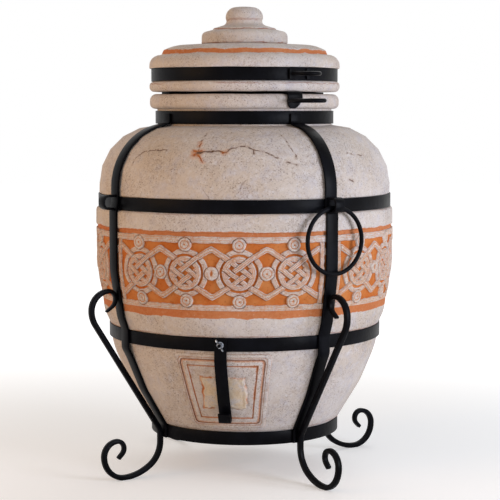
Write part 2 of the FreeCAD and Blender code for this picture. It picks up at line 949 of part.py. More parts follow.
def eye_root():
    """Radius of the rib's outer face on the middle hoop, with a fit."""
    rib = hoop_face(middle_seat_radius()) + size("rib_fit")
    return rib + size("bar_thickness") + size("hoop_fit")


def build_eye(place):
    """A strap bent to a loop that stands out from the rib."""
    thick = size("bar_thickness")
    rise = (size("eye_height") - thick) / 2
    middle = size("eye_middle")
    nose = eye_root() + size("eye_reach") - thick / 2
    bend = rise - thick / 2
    points = [
        (eye_root(), middle + rise, 0.0),
        (nose, middle + rise, bend),
        (nose, middle - rise, bend),
        (rib_belly_face() + size("hoop_fit"), middle - rise, 0.0),
    ]
    body = new_body(f"ring_eye_{place}", rib_angle(place))
    edges = bar_edges(walk(*along(points)), always(thick / 2), always(-thick / 2))
    padded(body, "XZ_Plane", edges, "sizes.eye_width")
    return body


def ring_pivot():
    """Radius and height of the line about which a ring swings."""
    radius = rib_belly_face() + size("ring_stand_off") + size("ring_rod") / 2
    slot_floor = size("eye_middle") - size("eye_height") / 2 + size("bar_thickness")
    return radius, slot_floor + size("ring_rod") / 2 + size("ring_drop_gap")


def build_ring(place):
    ring = doc.addObject("Part::Torus", f"ring_handle_{place}")
    ring.Label = f"ring_handle_{place}"
    ring.setExpression("Radius1", "sizes.ring_radius")
    ring.setExpression("Radius2", "sizes.ring_rod / 2")
    angle = math.radians(rib_angle(place))
    outward = Vector(math.cos(angle), math.sin(angle), 0)
    radius, height = ring_pivot()
    centre = outward * radius + Vector(0, 0, height - size("ring_radius"))
    ring.Placement = Placement(centre, Rotation(Vector(0, 0, 1), outward))
    return ring


def build_lapped_bar(label, angle, half_length, bottom, bar, notch_on_top):
    """A straight flat bar with half of its thickness cut away where another crosses it."""
    width, thick = size(f"{bar}_width"), size(f"{bar}_thickness")
    body = new_body(label, angle)
    outline = box_edges(-half_length, half_length, -width / 2, width / 2)
    padded(body, "XY_Plane", outline, f"sizes.{bar}_thickness", False, bottom)
    middle = bottom + thick / 2
    lap = width / 2 + size("hoop_fit")
    low = middle if notch_on_top else bottom - thick
    high = bottom + 2 * thick if notch_on_top else middle
    pocketed(body, "XZ_Plane", box_edges(-lap, lap, low, high), f"2 * sizes.{bar}_width")
    return body


def build_base_bars():
    """Two flat bars under the clay, their ends against the lowest hoop."""
    inside = base_seat_radius() + size("hoop_fit")
    half = math.sqrt(inside ** 2 - (size("bar_width") / 2) ** 2) - size("base_bar_gap")
    bottom = size("clay_bottom") - size("base_bar_gap") - size("bar_thickness")
    angle = rib_angle("front_right")
    return [
        build_lapped_bar("base_bar", angle, half, bottom, "bar", True),
        build_lapped_bar("base_cross_bar", angle + 90, half, bottom, "bar", False),
    ]


# ---------------------------------------------------------------- grips and hanger


def build_grip(label, angle, height, start, end, half_width):
    """A rod bent to a long loop that stands out level, from one radius to another."""
    body = new_body(label, angle)
    bend = end - half_width
    path = [
        Part.LineSegment(Vector(start, -half_width, 0), Vector(bend, -half_width, 0)),
        Part.Arc(
            Vector(bend, -half_width, 0), Vector(end, 0, 0), Vector(bend, half_width, 0)
        ),
        Part.LineSegment(Vector(bend, half_width, 0), Vector(start, half_width, 0)),
    ]
    spine = new_sketch(body, "XY_Plane", path, height)
    rod = circle_edge(size("grip_rod") / 2, -half_width, height)
    profile = new_sketch(body, "YZ_Plane", [rod], start)
    pipe = body.newObject("PartDesign::AdditivePipe", f"{label}_rod")
    pipe.Profile = profile
    pipe.Spine = (spine, ["Edge1", "Edge2", "Edge3"])
    body.Tip = pipe
    return body


def build_lid_grip(side, opposite):
    """A rod grip with flattened palms that lie on the lid's hoop."""
    seat = size("lid_radius") - size("lid_seat_depth")
    wall = hoop_face(seat) + size("hoop_fit")
    palm = size("palm_thickness")
    height = lid_seat() + size("seat_gap") + size("bar_width") / 2
    half_width = size("lid_grip_half_width")
    inside = wall - 2 * palm
    body = build_grip(
        f"lid_grip_{side}",
        FRONT + size("lid_grip_turn") + opposite,
        height,
        inside,
        wall + size("lid_grip_reach"),
        half_width,
    )
    wide = size("palm_width") / 2
    tall = size("bar_width") / 2 - size("edge_round")
    palms = []
    for middle in (-half_width, half_width):
        low, high = height - tall, height + tall
        palms += box_edges(middle - wide, middle + wide, low, high, palm)
    padded(body, "YZ_Plane", palms, "3 * sizes.palm_thickness", False, inside)
    turned(body, box_edges(0.0, wall, height - 2 * tall, height + 2 * tall), "Groove")
    return body


def hanger_bottom():
    return size("rim_height") + size("seat_gap")


def hanger_face():
    """Outer radius of the hanger bar's end where it hangs down over the rim."""
    return size("rim_radius") + size("hanger_rim_gap") + size("hanger_thickness")


def build_hanger_bar():
    """A flat bar across the rim, its ends bent down outside the rim bead."""
    thick = size("hanger_thickness")
    end = hanger_face() - thick / 2
    level = hanger_bottom() + thick / 2
    tip = hanger_bottom() + thick - size("hanger_drop")
    bend = size("hanger_bend")
    points = [(-end, tip, 0.0), (-end, level, bend), (end, level, bend), (end, tip, 0.0)]
    body = new_body("hanger_bar", FRONT + size("hanger_turn"))
    edges = bar_edges(walk(*along(points)), always(thick / 2), always(-thick / 2))
    padded(body, "XZ_Plane", edges, "sizes.hanger_width")
    lap = size("hanger_width") / 2 + size("hoop_fit")
    notch = box_edges(-lap, lap, level, level + thick)
    pocketed(body, "XZ_Plane", notch, "2 * sizes.hanger_width")
    return body


def build_hanger_hoop():
    hoop = doc.addObject("Part::Torus", "hanger_hoop")
    hoop.Label = "hanger_hoop"
    hoop.setExpression("Radius1", "sizes.hanger_hoop_radius")
    hoop.setExpression("Radius2", "sizes.grip_rod / 2")
    height = hanger_bottom() - size("grip_rod") / 2 - size("hoop_fit")
    hoop.Placement = Placement(Vector(0, 0, height), Rotation())
    return hoop


def build_hanger():
    angle = FRONT + size("hanger_turn")
    half = size("throat_radius") + size("cross_bar_overlap")
    start = hanger_face() + size("hoop_fit")
    height = size("hanger_grip_height")
    end = start + size("hanger_grip_reach")
    half_width = size("hanger_grip_half_width")
    return [
        build_hanger_bar(),
        build_lapped_bar("hanger_cross_bar", angle + 90, half, hanger_bottom(), "hanger", False),
        build_hanger_hoop(),
        build_grip("hanger_grip_right", angle, height, start, end, half_width),
        build_grip("hanger_grip_left", angle + 180, height, start, end, half_width),
    ]


# ---------------------------------------------------------------- ash door strap


def lower_face():
    return hoop_face(lower_seat_radius())


def strap_face():
    """Radius of the strap's inner face where it lies on the lower hoop."""
    return lower_face() + size("strap_gap")


def stud_height():
    return size("lower_hoop_height") + size("bar_width") / 2


def strap_line():
    """The strap's inner face, from its top down to where its fold starts."""
    foot, middle, top, seat = cone_line(size("strap_stand_off"))
    face = strap_face()
    steep = (seat[1] - top[1]) / (seat[0] - top[0])
    knee = seat[1] - (seat[0] - face) * steep
    low = size("strap_bottom")
    inward = (middle[0] - foot[0]) / (middle[1] - foot[1]) * (middle[1] - low)
    sweep = size("rib_sweep")
    return [
        (face, size("lower_hoop_height") + size("strap_top_rise"), 0.0),
        (face, knee, 2 * size("rib_bend")),
        (top[0], top[1], sweep),
        (middle[0], middle[1], sweep),
        (middle[0] - inward, low, 0.0),
    ]


def build_strap():
    """A flat bar that hangs from the stud over the ash door, its end folded outwards."""
    start, heading, moves = along(strap_line())
    moves.append((size("strap_fold_round"), size("strap_fold_turn")))
    moves.append((size("strap_fold_length"),))
    body = new_body("door_strap", FRONT)
    edges = bar_edges(walk(start, heading, moves), always(size("bar_thickness")), always(0.0))
    padded(body, "XZ_Plane", edges, "sizes.strap_width")
    hole = circle_edge(size("stud_radius") + size("stud_fit"), 0.0, stud_height())
    pocketed(body, "YZ_Plane", [hole], "8 * sizes.bar_thickness", offset=strap_face())
    return body


def on_stud(radius, turn=0.0):
    """Placement of a piece whose own Z axis lies along the stud."""
    lie_down = Rotation(Vector(1, 0, 0), 90) * Rotation(Vector(0, 0, 1), turn)
    return Placement(Vector(0, -radius, stud_height()), lie_down)


def build_stud():
    stud = doc.addObject("Part::Cylinder", "door_stud")
    stud.Label = "door_stud"
    stud.setExpression("Radius", "sizes.stud_radius")
    stud.setExpression("Height", "sizes.stud_length")
    stud.Placement = on_stud(lower_face())
    return stud


def washer_seat():
    return strap_face() + size("bar_thickness") + size("stack_gap")


def build_washer():
    body = new_body("strap_washer")
    rings = [
        circle_edge(size("washer_radius")),
        circle_edge(size("stud_radius") + size("stud_fit")),
    ]
    padded(body, "XY_Plane", rings, "sizes.washer_thickness", False)
    body.Placement = on_stud(washer_seat())
    return body


def wing_edges(side):
    """One wing of the nut, rising from the hub's side."""
    length, edge = size("nut_length"), size("edge_round")
    inner = side * (size("stud_radius") + size("nut_radius")) / 2
    outer = side * size("wing_reach")
    narrow = outer - side * 2 * size("wing_thickness")
    low, high = length / 4, length / 4 + size("wing_height")
    return rounded_edges([
        (inner, low, 0.0),
        (side * size("nut_radius"), low, edge),
        (outer, length / 2, edge),
        (outer, high, size("wing_thickness")),
        (narrow, high, edge),
        (inner, length * 3 / 4, 0.0),
    ])


def build_wing_nut():
    bore = size("stud_radius") + size("stud_fit")
    hub, length = size("nut_radius"), size("nut_length")
    edge = size("edge_round") / 3
    body = new_body("wing_nut")
    turned(body, rounded_edges([
        (bore, 0.0, 0.0),
        (hub, 0.0, edge),
        (hub - size("edge_round"), length, edge),
        (bore, length, 0.0),
    ]))
    padded(body, "XZ_Plane", wing_edges(1) + wing_edges(-1), "sizes.wing_thickness")
    seat = washer_seat() + size("washer_thickness") + size("stack_gap")
    body.Placement = on_stud(seat, size("wing_turn"))
    return body


# ---------------------------------------------------------------- fire grate


def grate_radius():
    return size("throat_radius") - size("grate_throat_gap")


def grate_slots():
    inside = grate_radius() - size("grate_rim")
    half = size("grate_slot") / 2
    pitch = size("grate_slot") + size("grate_web")
    count = int((inside - 2 * half) // pitch)
    slots = []
    for i in range(-count, count + 1):
        middle = i * pitch
        reach = math.sqrt(inside ** 2 - (abs(middle) + half) ** 2)
        slots += box_edges(middle - half, middle + half, -reach, reach, half * 0.9)
    return slots


def build_grate():
    """A round slotted grate on four feet, small enough to pass the throat."""
    body = new_body("fire_grate")
    height = size("grate_height")
    disc = [circle_edge(grate_radius())]
    padded(body, "XY_Plane", disc, "sizes.grate_thickness", False, height)
    pocketed(body, "XY_Plane", grate_slots(), "4 * sizes.grate_thickness", offset=height)
    feet = []
    across = (grate_radius() - size("grate_foot_inset")) / math.sqrt(2)
    for x in (-across, across):
        for y in (-across, across):
            feet.append(circle_edge(size("grate_foot_radius"), x, y))
    floor = size("chamber_floor") + size("seat_gap")
    rise = "sizes.grate_height - sizes.chamber_floor - sizes.seat_gap + sizes.grate_thickness / 2"
    padded(body, "XY_Plane", feet, rise, False, floor)
    return body


# ---------------------------------------------------------------- assembly


def build_all():
    nodes = [build_clay_body(), build_clay_shoulder(), build_ash_door(), build_lid()]
    nodes.append(build_vent_cap())
    nodes += build_hoops()
    nodes += [build_rib(place) for place in PLACES]
    nodes += [build_leg(place) for place in PLACES]
    nodes += [build_eye(place) for place in PLACES]
    nodes += [build_ring(place) for place in ("front_right", "back_left")]
    nodes += build_base_bars()
    nodes += [build_lid_grip("right", 0), build_lid_grip("left", 180)]
    nodes += build_hanger()
    nodes += [build_strap(), build_stud(), build_washer(), build_wing_nut()]
    nodes.append(build_grate())
    return nodes


def check(nodes):
    """Stop before writing if any feature failed or any piece isn't one sound solid."""
    faults = []
    for item in doc.Objects:
        if {"Invalid", "Error"} & set(item.State):
            faults.append(f"{item.Label}: {item.State}")
    for node in nodes:
        shape = node.Shape
        if shape.isNull() or not shape.isValid():
            faults.append(f"{node.Label}: no sound shape")
        elif len(shape.Solids) != 1:
            faults.append(f"{node.Label}: {len(shape.Solids)} solids")
    if faults:
        raise RuntimeError("; ".join(faults))


def write(nodes):
    os.makedirs("parts", exist_ok=True)
    for node in nodes:
        node.Shape.exportStep(os.path.join("parts", f"{node.Label}.step"))
        box = node.Shape.BoundBox
        volume = node.Shape.Volume / 1000
        print(f"{node.Label}: {volume:.1f} cm3, z {box.ZMin:.1f} to {box.ZMax:.1f}")


doc = FreeCAD.newDocument("clay_tandoor")
sheet = fill_sheet(doc)
pieces = build_all()
doc.recompute()
check(pieces)
write(pieces)
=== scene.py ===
import math

import bmesh
import bpy
import numpy as np
from mathutils import Matrix, Vector, noise


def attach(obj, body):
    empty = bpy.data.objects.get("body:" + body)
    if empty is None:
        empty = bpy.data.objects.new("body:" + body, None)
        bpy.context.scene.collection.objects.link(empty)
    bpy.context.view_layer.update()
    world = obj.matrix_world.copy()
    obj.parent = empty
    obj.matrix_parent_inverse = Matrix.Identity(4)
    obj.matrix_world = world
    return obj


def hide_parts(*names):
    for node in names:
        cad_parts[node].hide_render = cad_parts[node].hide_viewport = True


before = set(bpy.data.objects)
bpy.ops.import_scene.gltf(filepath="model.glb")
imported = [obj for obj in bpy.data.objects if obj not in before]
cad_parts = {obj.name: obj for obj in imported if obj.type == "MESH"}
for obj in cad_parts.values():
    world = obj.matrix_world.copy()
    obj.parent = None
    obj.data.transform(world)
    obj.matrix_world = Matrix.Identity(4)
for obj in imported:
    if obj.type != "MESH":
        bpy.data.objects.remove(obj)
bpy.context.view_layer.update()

# Lengths below are millimetres until a mesh is finished. The ash door looks towards -Y.
mm = 0.001
front = math.radians(-90)


def paint(red, green, blue):
    # a screen colour, 0 to 255, as the shader wants it
    def linear(c):
        c /= 255
        return c / 12.92 if c <= 0.04045 else ((c + 0.055) / 1.055) ** 2.4
    return (linear(red), linear(green), linear(blue), 1.0)


class Field:
    # a socket that Python's operators work on
    def __init__(self, graph, socket):
        self.graph = graph
        self.socket = socket

    def __add__(self, other):
        return self.graph.maths("ADD", self, other)

    def __sub__(self, other):
        return self.graph.maths("SUBTRACT", self, other)

    def __rsub__(self, other):
        return self.graph.maths("SUBTRACT", other, self)

    def __mul__(self, other):
        return self.graph.maths("MULTIPLY", self, other)

    __radd__ = __add__
    __rmul__ = __mul__


class Graph:
    def __init__(self, name):
        self.material = bpy.data.materials.new(name)
        self.material.use_nodes = True
        self.tree = self.material.node_tree
        self.tree.nodes.clear()
        self.output = self.tree.nodes.new("ShaderNodeOutputMaterial")
        self.shader = self.tree.nodes.new("ShaderNodeBsdfPrincipled")
        self.tree.links.new(self.shader.outputs[0], self.output.inputs[0])

    def feed(self, socket, value):
        if isinstance(value, Field):
            self.tree.links.new(value.socket, socket)
        else:
            socket.default_value = value

    def node(self, kind, settings=None, inputs=None, output=0):
        made = self.tree.nodes.new("ShaderNode" + kind)
        for name, value in (settings or {}).items():
            setattr(made, name, value)
        for name, value in (inputs or {}).items():
            self.feed(made.inputs[name], value)
        return Field(self, made.outputs[output])

    def maths(self, operation, a, b=0.0):
        return self.node("Math", {"operation": operation}, {0: a, 1: b})

    def vector(self, operation, a, b=(0.0, 0.0, 0.0), output=0):
        return self.node("VectorMath", {"operation": operation}, {0: a, 1: b}, output)

    def scaled(self, a, factor):
        return self.node("VectorMath", {"operation": "SCALE"}, {0: a, "Scale": factor})

    def step(self, value, low, high):
        settings = {"interpolation_type": "SMOOTHSTEP"}
        return self.node("MapRange", settings, {"Value": value, "From Min": low, "From Max": high})

    def mix(self, factor, a, b):
        # sockets 6, 7 and output 2 are the colour ones
        return self.node("Mix", {"data_type": "RGBA"}, {0: factor, 6: a, 7: b}, 2)

    def noise(self, place, scale, detail=2.0, rough=0.5):
        values = {"Vector": place, "Scale": scale, "Detail": detail, "Roughness": rough}
        return self.node("TexNoise", None, values, "Fac")

    def spots(self, place, scale, output="Distance"):
        return self.node("TexVoronoi", None, {"Vector": place, "Scale": scale}, output)

    def bump(self, height, strength, distance):
        values = {"Height": height, "Strength": strength, "Distance": distance}
        return self.node("Bump", None, values)

    def finish(self, colour, roughness, normal, **fixed):
        self.feed(self.shader.inputs["Base Color"], colour)
        self.feed(self.shader.inputs["Roughness"], roughness)
        self.feed(self.shader.inputs["Normal"], normal)
        for name, value in fixed.items():
            self.shader.inputs[name.replace("_", " ")].default_value = value
        return self.material


clayLook = {
    "pale": paint(215, 206, 201),
    "warm": paint(207, 192, 178),
    "cool": paint(200, 193, 196),
    "chalk": paint(226, 223, 226),
    "dirt": paint(150, 122, 106),
    "speck": paint(112, 86, 72),
    "stain": paint(168, 138, 116),
    "crack": paint(168, 88, 34),
    "orange": paint(196, 110, 50),
    "orangeLight": paint(205, 132, 74),
    "orangeDark": paint(146, 70, 26),
    "stripe": paint(194, 104, 40),
    "stripeLight": paint(200, 120, 62),
    "hairline": paint(98, 70, 54),
    "raw": paint(180, 134, 102),
    "boss": paint(226, 200, 160),
}


def engobe(graph, place):
    # pale slip over the clay: cloudy, speckled, pitted; gives colour, pit depth and cloud
    cloud = graph.noise(place, 4.5, 3.0, 0.55)
    mottle = graph.noise(place, 44.0, 5.0, 0.65)
    grain = graph.noise(place, 420.0, 3.0, 0.6)
    colour = graph.mix(graph.step(cloud, 0.35, 0.68), clayLook["warm"], clayLook["pale"])
    colour = graph.mix(graph.step(mottle, 0.46, 0.68) * 0.7, colour, clayLook["cool"])
    patch = graph.step(graph.noise(place, 13.0, 4.0, 0.65), 0.38, 0.62)
    chalk = graph.step(graph.noise(place, 130.0, 5.0, 0.7), 0.50, 0.66)
    colour = graph.mix(chalk * 0.40, colour, clayLook["chalk"])
    worn = graph.step(graph.noise(place, 120.0, 5.0, 0.7), 0.52, 0.66) * (patch * 0.6 + 0.3)
    colour = graph.mix(worn * 0.34, colour, clayLook["stain"])
    dirt = graph.step(graph.noise(place, 380.0, 4.0, 0.75), 0.51, 0.62) * (patch * 0.7 + 0.3)
    colour = graph.mix(dirt * 0.55, colour, clayLook["dirt"])
    gate = graph.spots(place, 330.0, "Color")
    chosen = graph.node("SeparateColor", None, {"Color": gate}, "Red")
    speck = (1 - graph.step(graph.spots(place, 330.0), 0.26, 0.46)) * graph.step(chosen, 0.76, 0.82)
    speck = speck * (patch * 0.6 + 0.4)
    colour = graph.mix(speck * 0.60, colour, clayLook["speck"])
    pitGate = graph.spots(place, 75.0, "Color")
    pitChosen = graph.node("SeparateColor", None, {"Color": pitGate}, "Green")
    pit = (1 - graph.step(graph.spots(place, 75.0), 0.06, 0.16)) * graph.step(pitChosen, 0.86, 0.90)
    colour = graph.mix(pit * 0.55, colour, clayLook["speck"])
    height = grain * 0.3 + mottle * 0.7 - pit * 0.9 - speck * 0.4 - worn * 0.35 - dirt * 0.4
    return colour, height, cloud


def nearLine(graph, place, points):
    # distance in metres from a line through points on the clay
    nearest = None
    for a, b in zip(points, points[1:]):
        a, b = Vector(a), Vector(b)
        along = b - a
        offset = graph.vector("SUBTRACT", place, tuple(a))
        share = graph.vector("DOT_PRODUCT", offset, tuple(along / along.length_squared), "Value")
        share = graph.node("Clamp", None, {"Value": share})
        foot = graph.scaled(tuple(along), share)
        far = graph.vector("DISTANCE", offset, foot, "Value")
        nearest = far if nearest is None else graph.maths("MINIMUM", nearest, far)
    return nearest


shoulder = {
    "centre": 171.0,
    "round": 115.0,
    "foot": 562.0,             # where the round begins
}


def onClay(turn, height, radius=None):
    # a point on the vessel's upper half, turn in degrees to the right of the ash door
    if radius is None:
        rise = max(height - shoulder["foot"], 0.0)
        radius = shoulder["centre"] + math.sqrt(shoulder["round"] ** 2 - rise ** 2)
    angle = front + math.radians(turn)
    return (radius * math.cos(angle) * mm, radius * math.sin(angle) * mm, height * mm)


def clayMaterial(name, bands=(), lines=(), cracks=()):
    graph = Graph(name)
    place = graph.node("TexCoord", None, None, "Object")
    colour, height, cloud = engobe(graph, place)
    apart = graph.node("SeparateXYZ", None, {0: place}, "Z")
    wobble = graph.noise(place, 26.0, 3.0, 0.6) - 0.5
    fine = graph.noise(place, 160.0, 3.0, 0.6) - 0.5
    level = apart + wobble * 0.010 + fine * 0.0025
    blur = 0.0006
    for low, high in bands:
        mask = graph.step(level, low * mm - blur, low * mm + blur)
        mask = mask * (1 - graph.step(level, high * mm - blur, high * mm + blur))
        tone = graph.step(cloud + fine, 0.3, 0.7)
        shade = graph.mix(tone, clayLook["stripe"], clayLook["stripeLight"])
        colour = graph.mix(mask * (0.92 - graph.step(fine, 0.12, 0.3) * 0.4), colour, shade)
    # dark orange lines at given heights, along the creases and steps: painted crease shade
    for middle, half, strength in lines:
        far = graph.maths("ABSOLUTE", level - middle * mm)
        mask = 1 - graph.step(far, half * mm * 0.3, half * mm)
        mask = mask * graph.step(graph.noise(place, 18.0, 2.0, 0.5), 0.38, 0.55)
        colour = graph.mix(mask * strength, colour, clayLook["orangeDark"])
    if cracks:
        jitter = graph.node("TexNoise", None, {"Vector": place, "Scale": 70.0, "Detail": 4.0}, "Color")
        centred = graph.vector("SUBTRACT", jitter, (0.5, 0.5, 0.5))
        bent = graph.vector("ADD", place, graph.scaled(centred, 0.012))
        breaks = graph.noise(place, 55.0, 2.0, 0.5)
        for points, width, strength in cracks:
            far = nearLine(graph, bent, [onClay(*p) for p in points])
            edge = far - breaks * 0.0010
            deep = 1 - graph.step(edge, width * mm * 0.25, width * mm)
            halo = 1 - graph.step(edge, width * mm, width * mm * 3.2)
            # a wide crack shows orange clay, a thin one only dirt
            edgeShade, deepShade = ("orangeLight", "crack") if width > 1.8 else ("stain", "hairline")
            colour = graph.mix(halo * 0.4 * strength, colour, clayLook[edgeShade])
            colour = graph.mix(deep * strength, colour, clayLook[deepShade])
            height = height - deep * strength * 1.6
    normal = graph.bump(height, 0.7, 0.0014)
    rough = 0.78 + height * 0.10
    return graph.finish(colour, rough, normal, Specular_IOR_Level=0.25)


def friezeMaterial():
    # the carving: slip on what stands up, orange in what lies deep; both come from the mesh
    graph = Graph("friezeClay")
    place = graph.node("TexCoord", None, None, "Object")
    colour, height, _ = engobe(graph, place)
    high = graph.node("Attribute", {"attribute_name": "slip"}, None, "Fac")
    cut = graph.node("Attribute", {"attribute_name": "cutsAndShade"}, None, "Fac")
    fine = graph.noise(place, 210.0, 4.0, 0.65) - 0.5
    broad = graph.noise(place, 30.0, 3.0, 0.6)
    orange = graph.mix(graph.step(broad, 0.35, 0.7), clayLook["orange"], clayLook["orangeLight"])
    orange = graph.mix(graph.step(fine, 0.02, 0.24) * 0.5, orange, clayLook["orangeDark"])
    rubbed = graph.step(graph.noise(place, 120.0, 4.0, 0.7), 0.44, 0.64)
    drawn = graph.vector("MULTIPLY", place, (60.0, 60.0, 420.0))
    streak = graph.step(graph.noise(drawn, 1.0, 3.0, 0.6), 0.46, 0.62)
    slip = graph.mix(rubbed * 0.42, colour, clayLook["orangeLight"])
    slip = graph.mix(streak * 0.32, slip, clayLook["stain"])
    cover = graph.step(high + fine * 0.55, 0.40, 0.62)
    colour = graph.mix(cover, orange, slip)
    colour = graph.mix(graph.step(cut + fine * 0.4, 0.20, 0.70) * 0.85, colour, clayLook["orangeLight"])
    colour = graph.mix(graph.step(cut + fine * 0.5, 0.45, 0.9) * 0.6, colour, clayLook["crack"])
    normal = graph.bump(height - cut * 0.3, 0.55, 0.0010)
    return graph.finish(colour, 0.82, normal, Specular_IOR_Level=0.2)


def rawClay():
    # unslipped inside
    graph = Graph("rawClay")
    place = graph.node("TexCoord", None, None, "Object")
    grog = graph.noise(place, 140.0, 5.0, 0.7)
    broad = graph.noise(place, 7.0, 3.0, 0.6)
    colour = graph.mix(graph.step(broad, 0.35, 0.7), clayLook["raw"], clayLook["stain"])
    colour = graph.mix(graph.step(grog, 0.5, 0.72) * 0.5, colour, clayLook["orangeDark"])
    normal = graph.bump(grog, 0.7, 0.0018)
    return graph.finish(colour, 0.92, normal, Specular_IOR_Level=0.15)


metalLook = {
    "black": paint(4, 4, 7),
    "blackWorn": paint(11, 12, 18),
    "zinc": paint(190, 193, 199),
    "zincDull": paint(142, 147, 156),
    "iron": paint(58, 54, 51),
    "rust": paint(110, 70, 48),
    "scuff": paint(62, 62, 70),
}


def blackPaint():
    # satin paint over forged bar
    graph = Graph("steelPaint")
    place = graph.node("TexCoord", None, None, "Object")
    broad = graph.noise(place, 16.0, 3.0, 0.6)
    hammered = graph.noise(place, 85.0, 2.0, 0.5)
    grain = graph.noise(place, 600.0, 3.0, 0.6)
    colour = graph.mix(graph.step(broad, 0.4, 0.72), metalLook["black"], metalLook["blackWorn"])
    scuff = graph.step(graph.noise(place, 130.0, 5.0, 0.75), 0.64, 0.72)
    colour = graph.mix(scuff * 0.3, colour, metalLook["scuff"])
    rough = 0.30 + broad * 0.16 + scuff * 0.12
    normal = graph.bump(hammered + grain * 0.12, 0.32, 0.0012)
    return graph.finish(colour, rough, normal, Specular_IOR_Level=0.05)


def zincPlate():
    graph = Graph("zincPlate")
    place = graph.node("TexCoord", None, None, "Object")
    broad = graph.noise(place, 90.0, 4.0, 0.6)
    fine = graph.noise(place, 900.0, 2.0, 0.5)
    colour = graph.mix(graph.step(broad, 0.4, 0.65), metalLook["zincDull"], metalLook["zinc"])
    rough = 0.24 + broad * 0.2
    normal = graph.bump(fine + broad, 0.2, 0.0004)
    return graph.finish(colour, rough, normal, Metallic=1.0)


def castIron():
    graph = Graph("castIron")
    place = graph.node("TexCoord", None, None, "Object")
    broad = graph.noise(place, 22.0, 4.0, 0.6)
    sand = graph.noise(place, 380.0, 3.0, 0.7)
    colour = graph.mix(graph.step(broad, 0.52, 0.72) * 0.6, metalLook["iron"], metalLook["rust"])
    normal = graph.bump(sand + broad * 0.5, 0.6, 0.0012)
    return graph.finish(colour, 0.72 + broad * 0.15, normal, Metallic=0.5)


print("materials")

# cracks on the shoulder: (turn, height) points, width, strength
shoulderCracks = [
    ([(-9.5, 627.5), (-9.7, 646), (-8.7, 667)], 1.1, 0.95),
    ([(-9.9, 643), (-9.6, 648)], 2.4, 1.0),
    ([(-12.0, 633), (-9.5, 627.5), (-6.8, 614)], 2.1, 1.0),
    ([(-10.6, 625), (-9.5, 628.5), (-8.2, 631)], 3.6, 1.0),
    ([(-9.5, 627.5), (-4.5, 631), (2.1, 631.5)], 1.5, 1.0),
    ([(0.9, 630), (2.1, 632)], 2.6, 0.95),
    ([(2.1, 631.5), (3.3, 636), (6.7, 641.7), (10.6, 640.5), (13.3, 634)], 0.9, 0.85),
    ([(13.3, 635), (13.2, 630)], 1.6, 0.9),
    ([(13.3, 634), (16.5, 632.5), (22.4, 619)], 0.9, 0.9),
    ([(26.0, 614.5), (27.3, 611), (29.7, 608)], 1.5, 0.85),
    ([(25.3, 667.6), (26.3, 663), (28.5, 642.5), (30.0, 620)], 0.9, 0.85),
    ([(-40.0, 604), (-40.1, 615), (-38.3, 623), (-34.5, 631)], 1.1, 0.8),
    ([(-34.5, 631), (-29.3, 633), (-24.1, 633)], 1.1, 0.8),
    ([(55.3, 626), (60.1, 624), (65.9, 622)], 1.1, 0.8),
    ([(53.0, 579), (54.6, 575)], 1.6, 0.75),
    ([(-7.6, 580), (-7.0, 569), (-3.6, 547)], 0.6, 0.3),
    ([(11.6, 601), (9.6, 583), (5.7, 550)], 0.6, 0.3),
    ([(13.6, 586.5), (16.5, 567)], 0.7, 0.3),
    ([(151.0, 640), (160.0, 634), (171.0, 640), (178.0, 652)], 1.2, 0.8),
    ([(-118.0, 600), (-112.0, 612), (-104.0, 606)], 1.1, 0.8),
]
bodyBands = [(327.5, 343.5), (477.2, 486.4)]
# lines of painted crease shade at the steps of the body, lid and cap, as (height, half width, strength)
bodyCreaseShade = [(518.0, 1.6, 0.25), (292.5, 1.6, 0.5), (104.0, 1.5, 0.4)]
bodyClay = clayMaterial("bodyClay", bodyBands, bodyCreaseShade, shoulderCracks)
lidClay = clayMaterial("lidClay", [(813.6, 821.6)], [(757.0, 1.4, 0.5), (832.5, 1.2, 0.5)],
                       [([(70.0, 826, 150), (76.0, 824, 156)], 0.9, 0.5)])
capClay = clayMaterial("capClay", (), [(862.8, 1.6, 0.75), (836.5, 1.6, 0.7), (883.0, 2.6, 0.35)])
friezeClay = friezeMaterial()
innerClay = rawClay()
steelPaint = blackPaint()
zinc = zincPlate()
iron = castIron()


def cornerReach(points, closed):
    # how far each rounded corner reaches along its sides
    count = len(points)
    reach = [0.0] * count
    for i, (x, y, radius) in enumerate(points):
        if radius <= 0 or (not closed and i in (0, count - 1)):
            continue
        back = Vector(points[i - 1][:2]) - Vector((x, y))
        ahead = Vector(points[(i + 1) % count][:2]) - Vector((x, y))
        turn = math.pi - back.angle(ahead)
        reach[i] = radius * math.tan(turn / 2)
    for i in range(count if closed else count - 1):
        j = (i + 1) % count
        side = (Vector(points[j][:2]) - Vector(points[i][:2])).length
        if reach[i] + reach[j] > side:
            share = 0.999 * side / (reach[i] + reach[j])
            reach[i] *= share
            reach[j] *= share
    return reach


def outline(points, closed=True, segments=6, longest=1000.0):
    # a wire through rounded corners, radius along X and height along Z
    bm = bmesh.new()
    verts = [bm.verts.new((x, 0, z)) for x, z, _ in points]
    pairs = list(zip(verts, verts[1:]))
    if closed:
        pairs.append((verts[-1], verts[0]))
    for pair in pairs:
        bm.edges.new(pair)
    for vert, reach in zip(verts, cornerReach(points, closed)):
        if reach > 1e-4:
            bmesh.ops.bevel(bm, geom=[vert], offset=reach, offset_type="OFFSET", segments=segments,
                            profile=0.5, affect="VERTICES", material=-1, clamp_overlap=False)
    for edge in bm.edges[:]:
        cuts = math.ceil(edge.calc_length() / longest) - 1
        if cuts > 0:
            bmesh.ops.subdivide_edges(bm, edges=[edge], cuts=cuts)
    return bm


def turned(points, steps, closed=True, segments=6, longest=1000.0):
    bm = outline(points, closed, segments, longest)
    bmesh.ops.spin(bm, geom=bm.verts[:] + bm.edges[:], cent=(0, 0, 0), axis=(0, 0, 1),
                   angle=math.tau, steps=steps, use_merge=True, use_duplicate=False)
    cleaned(bm)
    return bm


def cleaned(bm, distance=0.001):
    bmesh.ops.remove_doubles(bm, verts=bm.verts, dist=distance)
    bmesh.ops.recalc_face_normals(bm, faces=bm.faces)


